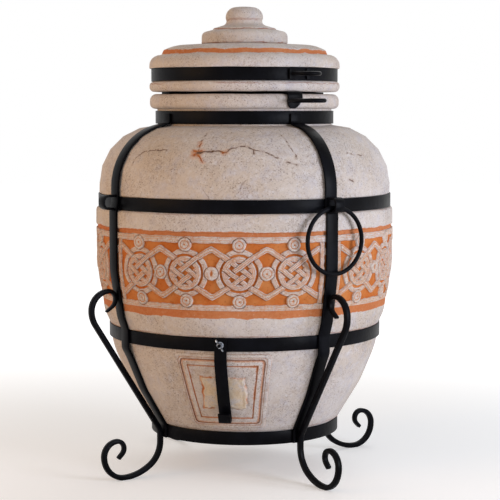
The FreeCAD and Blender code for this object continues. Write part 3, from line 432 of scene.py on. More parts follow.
def handFormed(bm, amount, scale, seed=0.0):
    # the slight unevenness of thrown and pressed clay
    bm.normal_update()
    moves = []
    for vert in bm.verts:
        spot = vert.co * scale + Vector((seed, seed, seed))
        moves.append(vert.normal * (noise.noise(spot) * amount))
    for vert, move in zip(bm.verts, moves):
        vert.co += move


def addPiece(name, bm, body, materials, nodes=(), sharp=38.0):
    bmesh.ops.scale(bm, vec=(mm, mm, mm), verts=bm.verts)
    mesh = bpy.data.meshes.new(name)
    bm.to_mesh(mesh)
    bm.free()
    for material in materials:
        mesh.materials.append(material)
    mesh.shade_smooth()
    mesh.set_sharp_from_angle(angle=math.radians(sharp))
    piece = bpy.data.objects.new(name, mesh)
    bpy.context.scene.collection.objects.link(piece)
    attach(piece, body)
    if nodes:
        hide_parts(*nodes)
    return piece


vessel = {
    "steps": 300,
    "bellyTop": 292.5,
    "bellyTurn": 405.0,
    "bellyFoot": (277.0, 315.0),   # radius, height
    "railBottom": 342.0,
    "grooveBottom": 477.5,
    "recess": 273.0,
    "unevenness": 0.9,
}


def ramp(t, width):
    # 0 below, t above, with a soft knee
    t = np.asarray(t, float)
    knee = (t + width) ** 2 / (4 * width)
    return np.where(t < -width, 0.0, np.where(t > width, t, knee))


def bellyRadius(z):
    footRadius, footHeight = vessel["bellyFoot"]
    slope = (vessel["bellyTop"] - footRadius) / (vessel["bellyTurn"] - footHeight)
    return vessel["bellyTop"] - slope * ramp(vessel["bellyTurn"] - np.asarray(z, float), 12.8)


cone = {
    "footRadius": 187.5,
    "footHeight": 103,
    "slope": 0.5986,
    "bends": ((174, 8.5, 0.1611), (238, 14.0, 0.2193)),    # height, softness, loss of slope
}


def coneRadius(z):
    # the outer face below the lower hoop
    z = np.asarray(z, float)
    radius = cone["footRadius"] + cone["slope"] * (z - cone["footHeight"])
    for height, softness, loss in cone["bends"]:
        radius = radius - loss * ramp(z - height, softness)
    return radius


def onCone(x, z, proud):
    radius = float(coneRadius(z)) + proud
    return Vector((x, -math.sqrt(max(radius * radius - x * x, 0.0)), z))


port = {
    "top": 250.0,
    "bottom": 118.5,
    "topWidth": 163.5,
    "bottomWidth": 120.5,
    "corner": 8.0,
    "taper": 3.0,
    "taperHalf": 70.0,         # half height that the taper is worked out for
    "cutFrom": -300.0,
    "cutDepth": 170.0,
    "frameWidth": 9.5,
    "frameProud": 3.5,
}


def portHalf(z, grow=0.0):
    # half of the port's width at a height, grown on every side
    high, low = port["top"], port["bottom"]
    wide, narrow = port["topWidth"] / 2, port["bottomWidth"] / 2
    slope = (wide - narrow) / (high - low)
    return narrow + slope * (z - low) + grow * math.hypot(1.0, slope)


def portCorners(grow):
    low, high = port["bottom"] - grow, port["top"] + grow
    places = ((-1, low), (1, low), (1, high), (-1, high))
    return [(side * portHalf(z, grow), z, port["corner"]) for side, z in places]


def portCutter():
    bm = outline(portCorners(0.0), segments=5)
    depth = port["cutDepth"]
    bmesh.ops.translate(bm, vec=(0, port["cutFrom"], 0), verts=bm.verts)
    face = bmesh.ops.contextual_create(bm, geom=bm.edges)["faces"]
    pushed = bmesh.ops.extrude_face_region(bm, geom=face)["geom"]
    inner = [item for item in pushed if isinstance(item, bmesh.types.BMVert)]
    bmesh.ops.translate(bm, vec=(0, depth, 0), verts=inner)
    shrink = 1 - depth * math.tan(math.radians(port["taper"])) / port["taperHalf"]
    middle = Matrix.Translation((0, 0, -(port["top"] + port["bottom"]) / 2))
    bmesh.ops.scale(bm, vec=(shrink, 1, shrink), verts=inner, space=middle)
    bmesh.ops.recalc_face_normals(bm, faces=bm.faces)
    return bm


def cutThrough(piece, cutter):
    # boolean, applied, so that no cutter is left behind
    tool = bpy.data.meshes.new("cutter")
    bmesh.ops.scale(cutter, vec=(mm, mm, mm), verts=cutter.verts)
    cutter.to_mesh(tool)
    cutter.free()
    holder = bpy.data.objects.new("cutter", tool)
    bpy.context.scene.collection.objects.link(holder)
    modifier = piece.modifiers.new("port", "BOOLEAN")
    modifier.operation = "DIFFERENCE"
    modifier.solver = "EXACT"
    modifier.object = holder
    graph = bpy.context.evaluated_depsgraph_get()
    cut = bpy.data.meshes.new_from_object(piece.evaluated_get(graph))
    piece.modifiers.clear()
    piece.data = cut
    bpy.data.objects.remove(holder)


def buildVessel():
    belly, recess = vessel["bellyTop"], vessel["recess"]
    rail, groove = vessel["railBottom"], vessel["grooveBottom"]
    railFoot = float(bellyRadius(rail))
    outside = [
        (181.5, 82.5, 2.0), (181.5, 100.0, 0.0), (187.5, 103.0, 0.0), (230.0, 174.0, 150.0),
        (258.0, 238.0, 150.0), (264.0, 265.5, 0.0), (264.0, 291.0, 0.0), (266.5, 291.0, 1.5),
        (277.0, 315.0, 60.0), (railFoot - 1.5, rail, 0.0), (recess, rail, 0.0),
        (recess, groove, 0.0), (belly - 3.0, groove, 0.0), (belly - 3.0, 485.0, 1.0),
        (belly, 485.0, 2.0), (belly, 519.0, 7.0), (284.0, 519.0, 0.0), (284.0, 545.0, 0.0),
        (286.0, 545.0, 1.5), (286.0, 677.0, 117.0), (171.0, 677.0, 0.0), (171.0, 709.0, 1.5),
        (185.5, 709.0, 10.0), (185.5, 737.0, 12.0),
    ]
    inside = [
        (125.0, 737.0, 6.0), (125.0, 623.0, 30.0), (234.0, 623.0, 63.0), (234.0, 315.0, 150.0),
        (206.0, 238.0, 150.0), (178.0, 174.0, 150.0), (140.0, 122.0, 30.0), (0.0, 122.0, 0.0),
        (0.0, 82.5, 0.0),
    ]
    bm = turned(outside + inside, vessel["steps"], segments=5, longest=13.0)
    handFormed(bm, vessel["unevenness"], 0.011, 3.0)
    handFormed(bm, 0.35, 0.06, 9.0)
    bm.normal_update()
    for face in bm.faces:
        centre = face.calc_center_median()
        around = math.hypot(centre.x, centre.y)
        facingAxis = centre.x * face.normal.x + centre.y * face.normal.y < 0
        inner = around < 150.0 and centre.z < 731.0
        if inner or (facingAxis and around < 240.0 and centre.z < 700.0):
            face.material_index = 1
    piece = addPiece("vesselShell", bm, "oven", [bodyClay, innerClay],
                     ["clay_body", "clay_shoulder"])
    cutThrough(piece, portCutter())
    piece.data.shade_smooth()
    piece.data.set_sharp_from_angle(angle=math.radians(38))
    return piece


buildVessel()
print("vessel")


frieze = {
    "columns": 452,
    "rows": 132,
    "spread": 45.0,            # half of a panel, degrees
    "firstTurn": -2.6,         # middle of the front panel, right of the ash door
    "low": vessel["railBottom"],
    "high": vessel["grooveBottom"],
    "middle": 411.0,
    "radius": 290.0,
    "groundDepth": 5.0,
    "relief": 4.7,
    "gap": 1.3,
    "edge": 1.3,
    "medallions": (-30.15, -10.05, 10.05, 30.15),
    "outerRing": (40.0, 4.5),
    "innerRing": (26.0, 5.0),
    "strapHalf": 4.9,
    "peak": 43.5,
    "armSlope": 0.635,
    "weaveTurn": 37.0,
    "weaveOffset": 8.8,
    "weaveHalf": 4.3,
    "bossRadius": 13.2,
    "rosetteRadius": 12.4,
    "rosetteRise": 52.0,
    "dividerTurn": 41.3,
    "dividerHalf": 4.2,
    # height of the middle, half width, cut lines as (distance from the middle, strength)
    "rails": ((473.5, 7.3, ((1.8, 0.6), (5.2, 0.45))), (346.6, 5.6, ((1.6, 0.6), (4.0, 0.5)))),
}


class Carving:
    # heights and cut lines over a panel, laid one strap after another
    def __init__(self, along, up):
        self.along = along
        self.up = up
        self.height = np.zeros_like(along)
        self.cut = np.zeros_like(along)

    def soft(self, far, half):
        t = np.clip((half - far) / frieze["edge"] + 0.5, 0, 1)
        return t * t * (3 - 2 * t)

    def lay(self, far, half, top, lines=(), where=1.0, gap=None):
        gap = frieze["gap"] if gap is None else gap
        around = self.soft(far, half + gap) * where
        inside = self.soft(far, half) * where
        self.height *= 1 - 0.85 * around
        self.cut *= 1 - around
        self.height = np.maximum(self.height, top * inside)
        for place, strength in lines:
            mark = np.exp(-(((np.abs(far) - place) / 0.85) ** 2)) * strength
            self.cut = np.maximum(self.cut, mark * inside)
            self.height -= 0.75 * mark * inside * (top > 0)

    def disc(self, u, z, radius, top, rings, dot):
        far = np.hypot(self.along - u, self.up - z)
        self.lay(far, radius, top)
        inside = self.soft(far, radius)
        for place in rings:
            mark = np.exp(-(((far - place) / 0.75) ** 2))
            self.cut = np.maximum(self.cut, mark * inside)
            self.height -= 1.1 * mark * inside
        if dot:
            mark = np.exp(-((far / dot) ** 2))
            self.cut = np.maximum(self.cut, mark)
            self.height -= 1.6 * mark


def wave(along, up, seed):
    # smooth unevenness of hand carving, about -1 to 1
    a = np.sin(along * 0.23 + 1.3 * seed) * np.cos(up * 0.19 - 0.7 * seed)
    b = np.sin(along * 0.071 - up * 0.11 + 2.1 * seed)
    c = np.sin(along * 0.47 + up * 0.39 + 0.4 * seed)
    return 0.5 * a + 0.35 * b + 0.25 * c


def weave(carving, u, z, top):
    # two bars each way, over and under, inside the inner ring
    turn = math.radians(frieze["weaveTurn"])
    x, y = carving.along - u, carving.up - z
    inside = (np.hypot(x, y) < frieze["innerRing"][0] - 3.0).astype(float)
    half, offset = frieze["weaveHalf"], frieze["weaveOffset"]
    rising, falling = {}, {}
    for side in (-1, 1):
        rising[side] = np.abs(-x * math.sin(turn) + y * math.cos(turn) - side * offset)
        falling[side] = np.abs(x * math.sin(turn) + y * math.cos(turn) - side * offset)
    lines = ((half * 0.35, 0.75),)
    for bars in (rising, falling):
        for side in (-1, 1):
            carving.lay(bars[side], half, top, lines, inside)
    for side in (-1, 1):
        crossing = (falling[side] < half + 2.2).astype(float) * inside
        carving.lay(rising[side], half, top, lines, crossing, 0.9)
    # one bar runs out over the ring at each side of the knot
    farRing = np.hypot(x, y)
    outRight = ((x > 4) & (y > 0) & (farRing < 37)).astype(float)
    carving.lay(rising[1], half + 0.3, top, lines, outRight)
    outLeft = ((x < -6) & (y < 9) & (y > -12) & (farRing < 31.5)).astype(float)
    carving.lay(falling[-1], half, top, lines, outLeft)


def carve(u, z, seed):
    bend = 0.8
    along = u + bend * wave(u, z, seed)
    up = z - frieze["middle"] + bend * wave(z * 1.7, u, seed + 5)
    carving = Carving(along, up)
    top = frieze["relief"]
    perDegree = math.radians(1) * frieze["radius"]
    places = [turn * perDegree for turn in frieze["medallions"]]
    pitch = places[1] - places[0]
    middles = [places[0] - pitch / 2] + [place + pitch / 2 for place in places]
    ringRadius, ringHalf = frieze["outerRing"]
    for place in places:
        far = np.abs(np.hypot(along - place, up) - ringRadius)
        carving.lay(far, ringHalf, top * 0.85, ((1.6, 0.5),))
    half = frieze["strapHalf"]
    lines = ((0.6, 0.35), (half * 0.52, 0.8))
    lean = math.cos(math.atan(frieze["armSlope"]))
    for middle in middles:
        for side in (-1, 1):
            apart = np.abs(along - middle)
            rounded = np.hypot(apart, 3.0) - 3.0
            far = np.abs(side * up - frieze["peak"] + frieze["armSlope"] * rounded) * lean
            near = (apart < pitch * 0.5).astype(float)
            carving.lay(far, half, top, lines, near * (side * up > 8))
    ringRadius, ringHalf = frieze["innerRing"]
    for place in places:
        far = np.hypot(along - place, up)
        carving.lay(np.abs(far - ringRadius), ringHalf, top, ((1.4, 0.7), (3.4, 0.35)))
        weave(carving, place, 0.0, top)
    for count, middle in enumerate(middles[1:-1]):
        if (count + round(seed)) % 2:
            carving.disc(middle, 0.0, frieze["bossRadius"], top, (8.4,), 2.2)
        else:
            carving.disc(middle, 0.0, frieze["bossRadius"] - 0.5, top, (), 0)
            slot = np.hypot((along - middle) * 1.7, up * 0.75)
            mark = np.exp(-((slot / 4.6) ** 4))
            carving.cut = np.maximum(carving.cut, 0.9 * mark)
            carving.height -= 1.8 * mark
    divider = frieze["dividerTurn"] * perDegree
    for side in (-1, 1):
        carving.lay(np.abs(along - side * divider), frieze["dividerHalf"], top, ((1.3, 0.7),))
    level = up + frieze["middle"]
    for middle, half, lines in frieze["rails"]:
        carving.lay(np.abs(level - middle), half, frieze["groundDepth"], lines, gap=0.6)
    for place in places:
        for side in (-1, 1):
            rise = side * frieze["rosetteRise"]
            carving.disc(place, rise, frieze["rosetteRadius"], top + 0.9, (7.6,), 2.1)
    carving.height += 0.22 * wave(u * 2.3, z * 2.9, seed + 2)
    return carving


def buildPanel(name, turn, seed):
    columns, rows = frieze["columns"], frieze["rows"]
    bm = bmesh.new()
    bmesh.ops.create_grid(bm, x_segments=columns, y_segments=rows + 3, size=0.5)
    mesh = bpy.data.meshes.new(name)
    bm.to_mesh(mesh)
    bm.free()
    grid = np.empty(len(mesh.vertices) * 3)
    mesh.vertices.foreach_get("co", grid)
    grid = grid.reshape(-1, 3)
    across = grid[:, 0] * 2 * frieze["spread"]
    row = np.rint((grid[:, 1] + 0.5) * (rows + 3)).astype(int)
    share = np.clip(row / rows, 0, 1)
    z = frieze["low"] + share * (frieze["high"] - frieze["low"])
    u = np.radians(across) * frieze["radius"]
    carving = carve(u, z, seed)
    radius = bellyRadius(z) - frieze["groundDepth"] + carving.height
    # the last rows go down behind the carving and back up to the first, which closes the panel
    z = np.where(row >= rows + 2, frieze["low"], z)
    radius = np.where((row == rows + 1) | (row == rows + 2), vessel["recess"] - 1.0, radius)
    first = carve(u, np.full_like(u, frieze["low"]), seed)
    closing = bellyRadius(frieze["low"]) - frieze["groundDepth"] + first.height
    radius = np.where(row == rows + 3, closing, radius)
    angle = front + math.radians(turn) + np.radians(across)
    spots = np.stack([radius * np.cos(angle), radius * np.sin(angle), z], axis=1)
    mesh.vertices.foreach_set("co", spots.ravel())
    slip = np.clip(carving.height / (0.72 * frieze["relief"]), 0, 1)
    slip = np.where(row > rows, 1.0, slip)
    for label, values in (("slip", slip), ("cutsAndShade", np.clip(carving.cut, 0, 1))):
        layer = mesh.attributes.new(label, "FLOAT", "POINT")
        layer.data.foreach_set("value", values.astype(np.float32))
    bm = bmesh.new()
    bm.from_mesh(mesh)
    bpy.data.meshes.remove(mesh)
    bmesh.ops.remove_doubles(bm, verts=bm.verts, dist=0.002)
    edges = [edge for edge in bm.edges if edge.is_boundary]
    bmesh.ops.holes_fill(bm, edges=edges, sides=0)
    bmesh.ops.recalc_face_normals(bm, faces=bm.faces)
    return addPiece(name, bm, "oven", [friezeClay], sharp=80.0)


for count, place in enumerate(("Front", "Right", "Back", "Left")):
    buildPanel("frieze" + place, frieze["firstTurn"] + 90 * count, count + 1.0)
print("frieze")


door = {
    "gap": 1.5,
    "sill": 118.8,
    "rimWidth": 11.0,
    "rimProud": 3.5,
    "panelProud": 1.5,
    "depth": 45.0,
    "bossHalf": 41.0,
    "bossLow": 150.5,
    "bossHigh": 214.0,
    "bossProud": 4.6,
    "columns": 150,
    "rows": 128,
}


def buildPortFrame():
    # a moulding round the port, with a thin cut line on it
    width, proud = port["frameWidth"], port["frameProud"]
    section = [
        (0.1, -50.0), (0.1, -20.0), (0.1, -4.0), (0.1, proud - 1.4), (0.5, proud - 0.4), (1.3, proud),
        (2.6, proud), (3.0, proud - 0.9), (3.5, proud - 0.9), (3.9, proud), (5.6, proud + 0.1),
        (7.4, proud), (8.6, proud - 0.5), (9.3, proud - 1.6), (width + 0.1, 0.2), (width + 0.7, -0.9),
        (width + 1.5, -1.0), (width + 1.9, -3.0), (width - 2.0, -8.0), (3.0, -12.0),
    ]
    # how dark the cut colour is at a width: 3.0 and 3.5 are the cut line on the moulding, width + 0.1
    # to width + 1.5 the groove round its outside; 0.1 and 0.5 are painted shade on its inner edge and
    # down the jamb into the door gap
    lines = {
        0.1: 0.8, 0.5: 0.5, 3.0: 0.55, 3.5: 0.55, width + 0.1: 0.5, width + 0.7: 1.0, width + 1.5: 0.9,
    }
    around = 220
    bm = bmesh.new()
    bmesh.ops.create_grid(bm, x_segments=around, y_segments=len(section), size=0.5)
    layer = bm.verts.layers.float.new("cutsAndShade")
    loops = {}
    for grow in {round(grow, 3) for grow, _ in section}:
        loops[grow] = walkedOutline(portCorners(grow), around)
    for vert in bm.verts:
        k = round((vert.co.x + 0.5) * around) % around
        j = round((vert.co.y + 0.5) * len(section)) % len(section)
        grow, height = section[j]
        x, z = loops[round(grow, 3)][k]
        uneven = 0.35 * noise.noise(Vector((x, z, grow)) * 0.08) if height > -2 else 0.0
        vert[layer] = lines.get(grow, 0.0)
        vert.co = onCone(x, z, height + uneven)
    cleaned(bm)
    addPiece("portMoulding", bm, "oven", [doorFrameClay], sharp=60.0)


def walkedOutline(points, count):
    # evenly spaced points on a closed rounded outline, from the middle of its first side
    bm = outline(points, segments=6)
    start = min(bm.verts, key=lambda v: (round(v.co.z, 3), abs(v.co.x)))
    order = [start.co.copy()]
    seen = {start}
    current = start
    while True:
        nextVerts = [e.other_vert(current) for e in current.link_edges]
        nextVerts = [v for v in nextVerts if v not in seen]
        if not nextVerts:
            break
        if current is start:
            nextVerts.sort(key=lambda v: -v.co.x)
        current = nextVerts[0]
        seen.add(current)
        order.append(current.co.copy())
    bm.free()
    order.append(order[0])
    lengths = [0.0]
    for a, b in zip(order, order[1:]):
        lengths.append(lengths[-1] + (b - a).length)
    wanted = np.linspace(0, lengths[-1], count, endpoint=False)
    xs = np.interp(wanted, lengths, [p.x for p in order])
    zs = np.interp(wanted, lengths, [p.z for p in order])
    return list(zip(xs, zs))


def insideRounded(x, z, grow, low=None):
    # how far a point lies inside the rounded trapezoid, negative outside
    low = port["bottom"] - grow if low is None else low
    high = port["top"] + grow
    slope = (port["topWidth"] - port["bottomWidth"]) / 2 / (port["top"] - port["bottom"])
    lean = 1 / math.hypot(1.0, slope)
    side = (portHalf(z, grow) - abs(x)) * lean
    up = min(z - low, high - z)
    corner = port["corner"]
    if side < corner and up < corner:
        return corner - math.hypot(corner - side, corner - up)
    return min(side, up)


def doorHeight(x, z, inside):
    # how proud the door stands: rim, cut line, panel and the rough boss
    def soft(t):
        t = min(max(t, 0.0), 1.0)
        return t * t * (3 - 2 * t)
    proud = door["rimProud"] * soft(inside / 1.4 + 0.35)
    rim = soft((inside - door["rimWidth"]) / 1.6 + 0.5)
    proud += (door["panelProud"] - door["rimProud"]) * rim
    line = math.exp(-(((inside - door["rimWidth"] - 0.6) / 0.9) ** 2))
    proud -= 1.3 * line
    second = math.exp(-(((inside - 3.0) / 0.6) ** 2))
    proud -= 0.5 * second
    spot = Vector((x, 7.0, z))
    ragged = 3.4 * noise.noise(spot * 0.06) + 1.8 * noise.noise(spot * 0.19)
    middle = (door["bossLow"] + door["bossHigh"]) / 2
    bossRise = (door["bossHigh"] - door["bossLow"]) / 2
    boss = min(door["bossHalf"] - abs(x), bossRise - abs(z - middle))
    boss += ragged
    lump = soft(boss / 3.0)
    rough = 0.9 * noise.noise(spot * 0.045) + 0.5 * noise.noise(spot * 0.15)
    rough += 0.25 * noise.noise(spot * 0.4)
    dip = 0.8 * math.exp(-(((boss - 7.0) / 2.5) ** 2))
    proud += lump * (door["bossProud"] - door["panelProud"] + rough - dip)
    proud -= 0.9 * math.exp(-(((boss + 0.8) / 1.3) ** 2))
    proud += 0.12 * noise.noise(spot * 0.5)
    # painted shade in the corners: along the panel's edge inside the rim, mostly up its right side, and
    # round the foot of the boss, more on its left
    wide = 1.5 + 1.6 * max(0.0, x / 60) * (z > 170)
    band = math.exp(-(((inside - door["rimWidth"] - 1.2) / wide) ** 2))
    shade = 0.62 + 0.5 * noise.noise(spot * 0.035)
    # painted shade round the foot of the boss, heavier on its left
    edge = 0.35 + 0.55 * noise.noise(spot * 0.05) + 0.35 * (x < -20)
    edge *= math.exp(-(((boss - 0.4) / 2.4) ** 2))
    cut = max(line, 0.6 * second, band * shade, edge)
    # painted shade along the door's edge beside the gap
    gapShade = math.exp(-(((inside - 0.6) / 1.5) ** 2)) * 0.75
    return proud, max(cut, gapShade), lump


def doorMaterial(name):
    graph = Graph(name)
    place = graph.node("TexCoord", None, None, "Object")
    colour, height, _ = engobe(graph, place)
    cut = graph.node("Attribute", {"attribute_name": "cutsAndShade"}, None, "Fac")
    boss = graph.node("Attribute", {"attribute_name": "boss"}, None, "Fac")
    fine = graph.noise(place, 190.0, 4.0, 0.65) - 0.5
    rusty = graph.noise(place, 45.0, 4.0, 0.7)
    colour = graph.mix(graph.step(rusty, 0.50, 0.68) * 0.55, colour, clayLook["stain"])
    colour = graph.mix(boss * graph.step(rusty, 0.38, 0.56) * 0.6, colour, clayLook["boss"])
    # the attribute holds the cut lines and also painted shade in the corners and gaps; both are
    # coloured orange, then dark
    colour = graph.mix(graph.step(cut + fine * 0.6, 0.18, 0.62) * 0.65, colour, clayLook["orangeLight"])
    colour = graph.mix(graph.step(cut + fine * 0.6, 0.45, 0.95) * 0.85, colour, clayLook["crack"])
    normal = graph.bump(height - cut * 0.4, 0.6, 0.0012)
    return graph.finish(colour, 0.82, normal, Specular_IOR_Level=0.2)


doorFaceClay = doorMaterial("doorFaceClay")
doorFrameClay = doorMaterial("doorFrameClay")


def buildDoor():
    columns, rows = door["columns"], door["rows"]
    low, high = door["sill"], port["top"] - door["gap"]
    bm = bmesh.new()
    bmesh.ops.create_grid(bm, x_segments=columns, y_segments=rows, size=0.5)
    layer = bm.verts.layers.float.new("cutsAndShade")
    bossLayer = bm.verts.layers.float.new("boss")
    for vert in bm.verts:
        share = vert.co.y + 0.5
        z = low + share * (high - low)
        x = vert.co.x * 2 * portHalf(z, -door["gap"])
        inside = insideRounded(x, z, -door["gap"], low)
        if inside < 0:
            # pull the corner in onto its rounding
            middleX = math.copysign(portHalf(z, -door["gap"]) - port["corner"], x)
            middleZ = low + port["corner"] if share < 0.5 else high - port["corner"]
            pull = Vector((x - middleX, z - middleZ))
            pull *= port["corner"] / pull.length
            x, z = middleX + pull.x, middleZ + pull.y
            inside = 0.0
        proud, cut, lump = doorHeight(x, z, inside)
        vert[layer] = cut
        vert[bossLayer] = lump
        vert.co = onCone(x, z, proud)
    edges = [edge for edge in bm.edges if edge.is_boundary]
    pushed = bmesh.ops.extrude_edge_only(bm, edges=edges)["geom"]
    back = [item for item in pushed if isinstance(item, bmesh.types.BMVert)]
    rim = [item for item in pushed if isinstance(item, bmesh.types.BMEdge)]
    middle = (low + high) / 2
    tight = math.tan(math.radians(port["taper"]))
    for vert in back:
        depth = door["depth"]
        vert.co.x -= math.copysign(depth * tight, vert.co.x)
        vert.co.z -= math.copysign(depth * tight, vert.co.z - middle)
        vert.co.y += depth
        # the plug's sides and back get the cut colour: painted shade in the door gap
        vert[layer] = 0.6
    bmesh.ops.contextual_create(bm, geom=rim)
    cleaned(bm)
    addPiece("doorPlug", bm, "door", [doorFaceClay], ["ash_door"], sharp=60.0)


buildPortFrame()
buildDoor()
print("door")


lid = {
    "steps": 240,
    "bottom": 741.6,
    "radius": 187.0,
}


def buildLid():
    bottom, radius = lid["bottom"], lid["radius"]
    low, high = bottom + 20.0, bottom + 45.5
    bead, stripe = high + 26.0, high + 36.0
    crown = stripe + 11.5
    points = [
        (150.0, bottom, 1.5), (radius, bottom, 9.5), (radius, low, 9.5), (179.0, low, 0.0),
        (179.0, high, 0.0), (radius, high, 1.5), (radius, bead, 20.0), (163.5, bead, 0.6),
        (159.0, stripe, 4.0), (140.0, stripe + 8.5, 60.0), (88.0, crown, 0.0), (48.0, crown, 1.5),
        (48.0, bottom + 60.0, 1.5), (150.0, bottom + 26.0, 20.0),
    ]
    bm = turned(points, lid["steps"], segments=6, longest=9.0)
    handFormed(bm, 0.7, 0.014, 21.0)
    handFormed(bm, 0.25, 0.07, 5.0)
    bm.normal_update()
    for face in bm.faces:
        centre = face.calc_center_median()
        around = math.hypot(centre.x, centre.y)
        if around < 149.0 and centre.z < bottom + 60.5 and face.normal.z < 0.05:
            face.material_index = 1
    addPiece("lidShell", bm, "lid_body", [lidClay, innerClay], ["lid"])


cap = {
    "steps": 160,
    "seat": 834.9,
}


def buildCap():
    seat = cap["seat"]
    points = [
        (0.0, seat - 26.0, 0.0), (46.0, seat - 26.0, 3.0), (46.0, seat, 0.0), (84.5, seat, 3.0),
        (84.5, seat + 22.6, 10.0), (65.5, seat + 27.5, 0.8), (62.5, seat + 28.4, 0.6),
        (61.0, seat + 31.0, 2.5), (40.0, seat + 37.0, 16.0), (33.3, seat + 43.5, 8.0),
        (36.6, seat + 49.5, 7.0), (37.4, seat + 72.0, 21.0), (0.0, seat + 72.6, 0.0),
    ]
    bm = turned(points, cap["steps"], closed=False, segments=7, longest=6.0)
    handFormed(bm, 0.9, 0.02, 40.0)
    handFormed(bm, 0.25, 0.09, 11.0)
    addPiece("capKnob", bm, "vent_cap_body", [capClay], ["vent_cap"])


buildLid()
buildCap()
print("lid")


steelNodes = {
    "oven": ["base_band", "lower_band", "middle_band", "neck_band", "base_bar", "base_cross_bar",
             "door_stud"],
    "lid_body": ["lid_band", "lid_grip_right", "lid_grip_left"],
    "hanger": ["hanger_bar", "hanger_cross_bar", "hanger_hoop", "hanger_grip_right",
               "hanger_grip_left"],
    "ring_front_right": ["ring_handle_front_right"],
    "ring_back_left": ["ring_handle_back_left"],
    "strap": ["door_strap"],
}
for corner in ("front_right", "back_right", "back_left", "front_left"):
    steelNodes["oven"] += [f"{kind}_{corner}" for kind in ("rib", "leg", "ring_eye")]
edgeWear = {"leg": 1.5, "rib": 0.6, "hanger": 0.7, "door": 0.6}


def pieceName(node):
    first, *rest = node.split("_")
    return first + "".join(word.capitalize() for word in rest) + "Bar"


hanger = {
    "turn": 39.6,
    "tip": 709.4,
    "taperFrom": 727.0,
    "lean": 5.0,
    "cuts": 8,
}


def roundEnds(bm):
    # the hanger bar's ends are hammered narrower below the grips
    angle = front + math.radians(hanger["turn"])
    across = Vector((-math.sin(angle), math.cos(angle), 0))
    drop = hanger["taperFrom"] - hanger["tip"]
    for i in range(hanger["cuts"]):
        level = hanger["taperFrom"] - drop * (i / hanger["cuts"]) ** 0.7
        bmesh.ops.bisect_plane(bm, geom=bm.verts[:] + bm.edges[:] + bm.faces[:],
                               plane_co=(0, 0, level), plane_no=(0, 0, 1))
    for vert in bm.verts:
        share = (hanger["taperFrom"] - vert.co.z) / drop
        if share > 0:
            side = vert.co.dot(across)
            narrow = 1 - 0.30 * share - 0.42 * share ** 4
            outward = math.copysign(1, vert.co.dot(Vector((across.y, -across.x, 0))))
            vert.co += across * (side * (narrow - 1) - outward * hanger["lean"] * share)


def dressedCopy(node, body, material, bevel):
    # the CAD shape with its edges eased
    bm = bmesh.new()
    bm.from_mesh(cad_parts[node].data)
    bmesh.ops.scale(bm, vec=(1 / mm, 1 / mm, 1 / mm), verts=bm.verts)
    bmesh.ops.remove_doubles(bm, verts=bm.verts, dist=0.0005)
    bmesh.ops.dissolve_limit(bm, angle_limit=math.radians(0.4), verts=bm.verts, edges=bm.edges)
    if node == "hanger_bar":
        roundEnds(bm)
    bm.normal_update()
    edges = []
    for edge in bm.edges:
        if len(edge.link_faces) == 2 and edge.calc_face_angle(0.0) > math.radians(35):
            edges.append(edge)
    if edges and bevel:
        bmesh.ops.bevel(bm, geom=edges, offset=bevel, offset_type="OFFSET", segments=2, profile=0.5,
                        affect="EDGES", material=-1, clamp_overlap=True)
    return addPiece(pieceName(node), bm, body, [material], [node], sharp=40.0)


for body, nodes in steelNodes.items():
    for node in nodes:
        bevel = edgeWear.get(node.split("_")[0], 0.5)
        dressedCopy(node, body, steelPaint, bevel)
dressedCopy("strap_washer", "washer", zinc, 0.25)
dressedCopy("wing_nut", "nut", zinc, 0.35)
dressedCopy("fire_grate", "grate", iron, 0.6)
print("frame")


studio = {
    "cameraTurn": 9.4,
    "cameraFar": 3200.0,
    "cameraHigh": 712.0,
    "cameraPitch": 5.05,
    "cameraYaw": 0.195,
    "lens": 116.4,
    "aim": (0, 0, 0.45),
    "ambient": 0.36,
    "floorRadius": 12000.0,
    "floorNear": 0.32,         # how bright the camera sees the floor under the oven, and far from it
    "floorFar": 0.8,
}
lamps = {
    "key": {"turn": 52.0, "rise": 7.0, "far": 2.6, "wide": 1.0, "power": 38.0,
            "colour": (0.92, 0.97, 1.10)},
    "fill": {"turn": -62.0, "rise": 14.0, "far": 2.8, "wide": 1.6, "power": 25.0,
             "colour": (1.0, 0.57, 0.22)},
    "back": {"turn": 160.0, "rise": 45.0, "far": 2.8, "wide": 1.5, "power": 14.0,
             "colour": (1.0, 1.0, 1.0)},
}


def buildFloor():
    bm = bmesh.new()
    bmesh.ops.create_circle(bm, cap_ends=True, segments=96, radius=studio["floorRadius"])
    bmesh.ops.scale(bm, vec=(mm, mm, mm), verts=bm.verts)
    mesh = bpy.data.meshes.new("floor")
    bm.to_mesh(mesh)
    bm.free()
    floor = bpy.data.objects.new("floor", mesh)
    bpy.context.scene.collection.objects.link(floor)
    graph = Graph("paleFloor")
    graph.feed(graph.shader.inputs["Base Color"], (0.82, 0.82, 0.82, 1.0))
    graph.feed(graph.shader.inputs["Roughness"], 0.9)
    graph.feed(graph.shader.inputs["Specular IOR Level"], 0.0)
    rays = graph.tree.nodes.new("ShaderNodeLightPath")
    seen = Field(graph, rays.outputs["Is Camera Ray"]) + Field(graph, rays.outputs["Is Glossy Ray"])
    seen = seen + Field(graph, rays.outputs["Is Transmission Ray"])
    graph.feed(graph.shader.inputs["Emission Strength"], 1.0)
    place = graph.node("TexCoord", None, None, "Object")
    far = graph.vector("LENGTH", place, output="Value")
    near, distant = studio["floorNear"], studio["floorFar"]
    glow = graph.mix(graph.step(far, 0.4, 2.2), (near, near, near, 1), (distant, distant, distant, 1))
    shade = graph.mix(graph.node("Clamp", None, {"Value": seen}), (0, 0, 0, 1), glow)
    graph.feed(graph.shader.inputs["Emission Color"], shade)
    mesh.materials.append(graph.material)


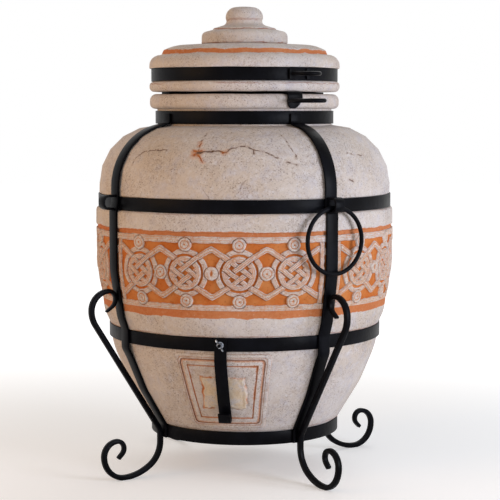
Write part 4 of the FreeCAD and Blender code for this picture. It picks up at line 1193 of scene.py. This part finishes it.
def buildWorld():
    world = bpy.data.worlds.new("studio")
    world.use_nodes = True
    bpy.context.scene.world = world
    nodes, links = world.node_tree.nodes, world.node_tree.links
    nodes.clear()
    output = nodes.new("ShaderNodeOutputWorld")
    shades = []
    for strength in (studio["ambient"], 1.0):
        background = nodes.new("ShaderNodeBackground")
        background.inputs["Color"].default_value = (1, 1, 1, 1)
        background.inputs["Strength"].default_value = strength
        shades.append(background)
    rays = nodes.new("ShaderNodeLightPath")
    seen = rays.outputs["Is Camera Ray"]
    for kind in ("Is Glossy Ray", "Is Transmission Ray"):
        total = nodes.new("ShaderNodeMath")
        total.operation = "ADD"
        total.use_clamp = True
        links.new(seen, total.inputs[0])
        links.new(rays.outputs[kind], total.inputs[1])
        seen = total.outputs[0]
    mix = nodes.new("ShaderNodeMixShader")
    links.new(seen, mix.inputs[0])
    links.new(shades[0].outputs[0], mix.inputs[1])
    links.new(shades[1].outputs[0], mix.inputs[2])
    links.new(mix.outputs[0], output.inputs[0])


def addLamp(name, turn, rise, far, wide, power, colour):
    # an area lamp aimed at the middle of the oven; turn is to the right of the camera
    angle = front + math.radians(studio["cameraTurn"] + turn)
    lift = math.radians(rise)
    middle = Vector(studio["aim"])
    place = middle + Vector((math.cos(angle) * math.cos(lift), math.sin(angle) * math.cos(lift),
                             math.sin(lift))) * far
    light = bpy.data.lights.new(name, "AREA")
    light.shape = "SQUARE"
    light.size = wide
    light.energy = power
    light.color = colour
    lamp = bpy.data.objects.new(name, light)
    lamp.location = place
    lamp.rotation_mode = "QUATERNION"
    lamp.rotation_quaternion = (middle - place).to_track_quat("-Z", "Y")
    bpy.context.scene.collection.objects.link(lamp)


def buildCamera():
    data = bpy.data.cameras.new("camera")
    data.sensor_width = 36.0
    data.lens = studio["lens"]
    camera = bpy.data.objects.new("camera", data)
    turn = math.radians(studio["cameraTurn"])
    far = studio["cameraFar"] * mm
    camera.location = (far * math.sin(turn), -far * math.cos(turn), studio["cameraHigh"] * mm)
    pitch = math.radians(90 - studio["cameraPitch"])
    camera.rotation_euler = (pitch, 0, turn - math.radians(studio["cameraYaw"]))
    bpy.context.scene.collection.objects.link(camera)
    bpy.context.scene.camera = camera


buildFloor()
buildWorld()
for name, values in lamps.items():
    addLamp(name, **values)
buildCamera()
bpy.context.scene.view_settings.view_transform = "Standard"
print("studio")
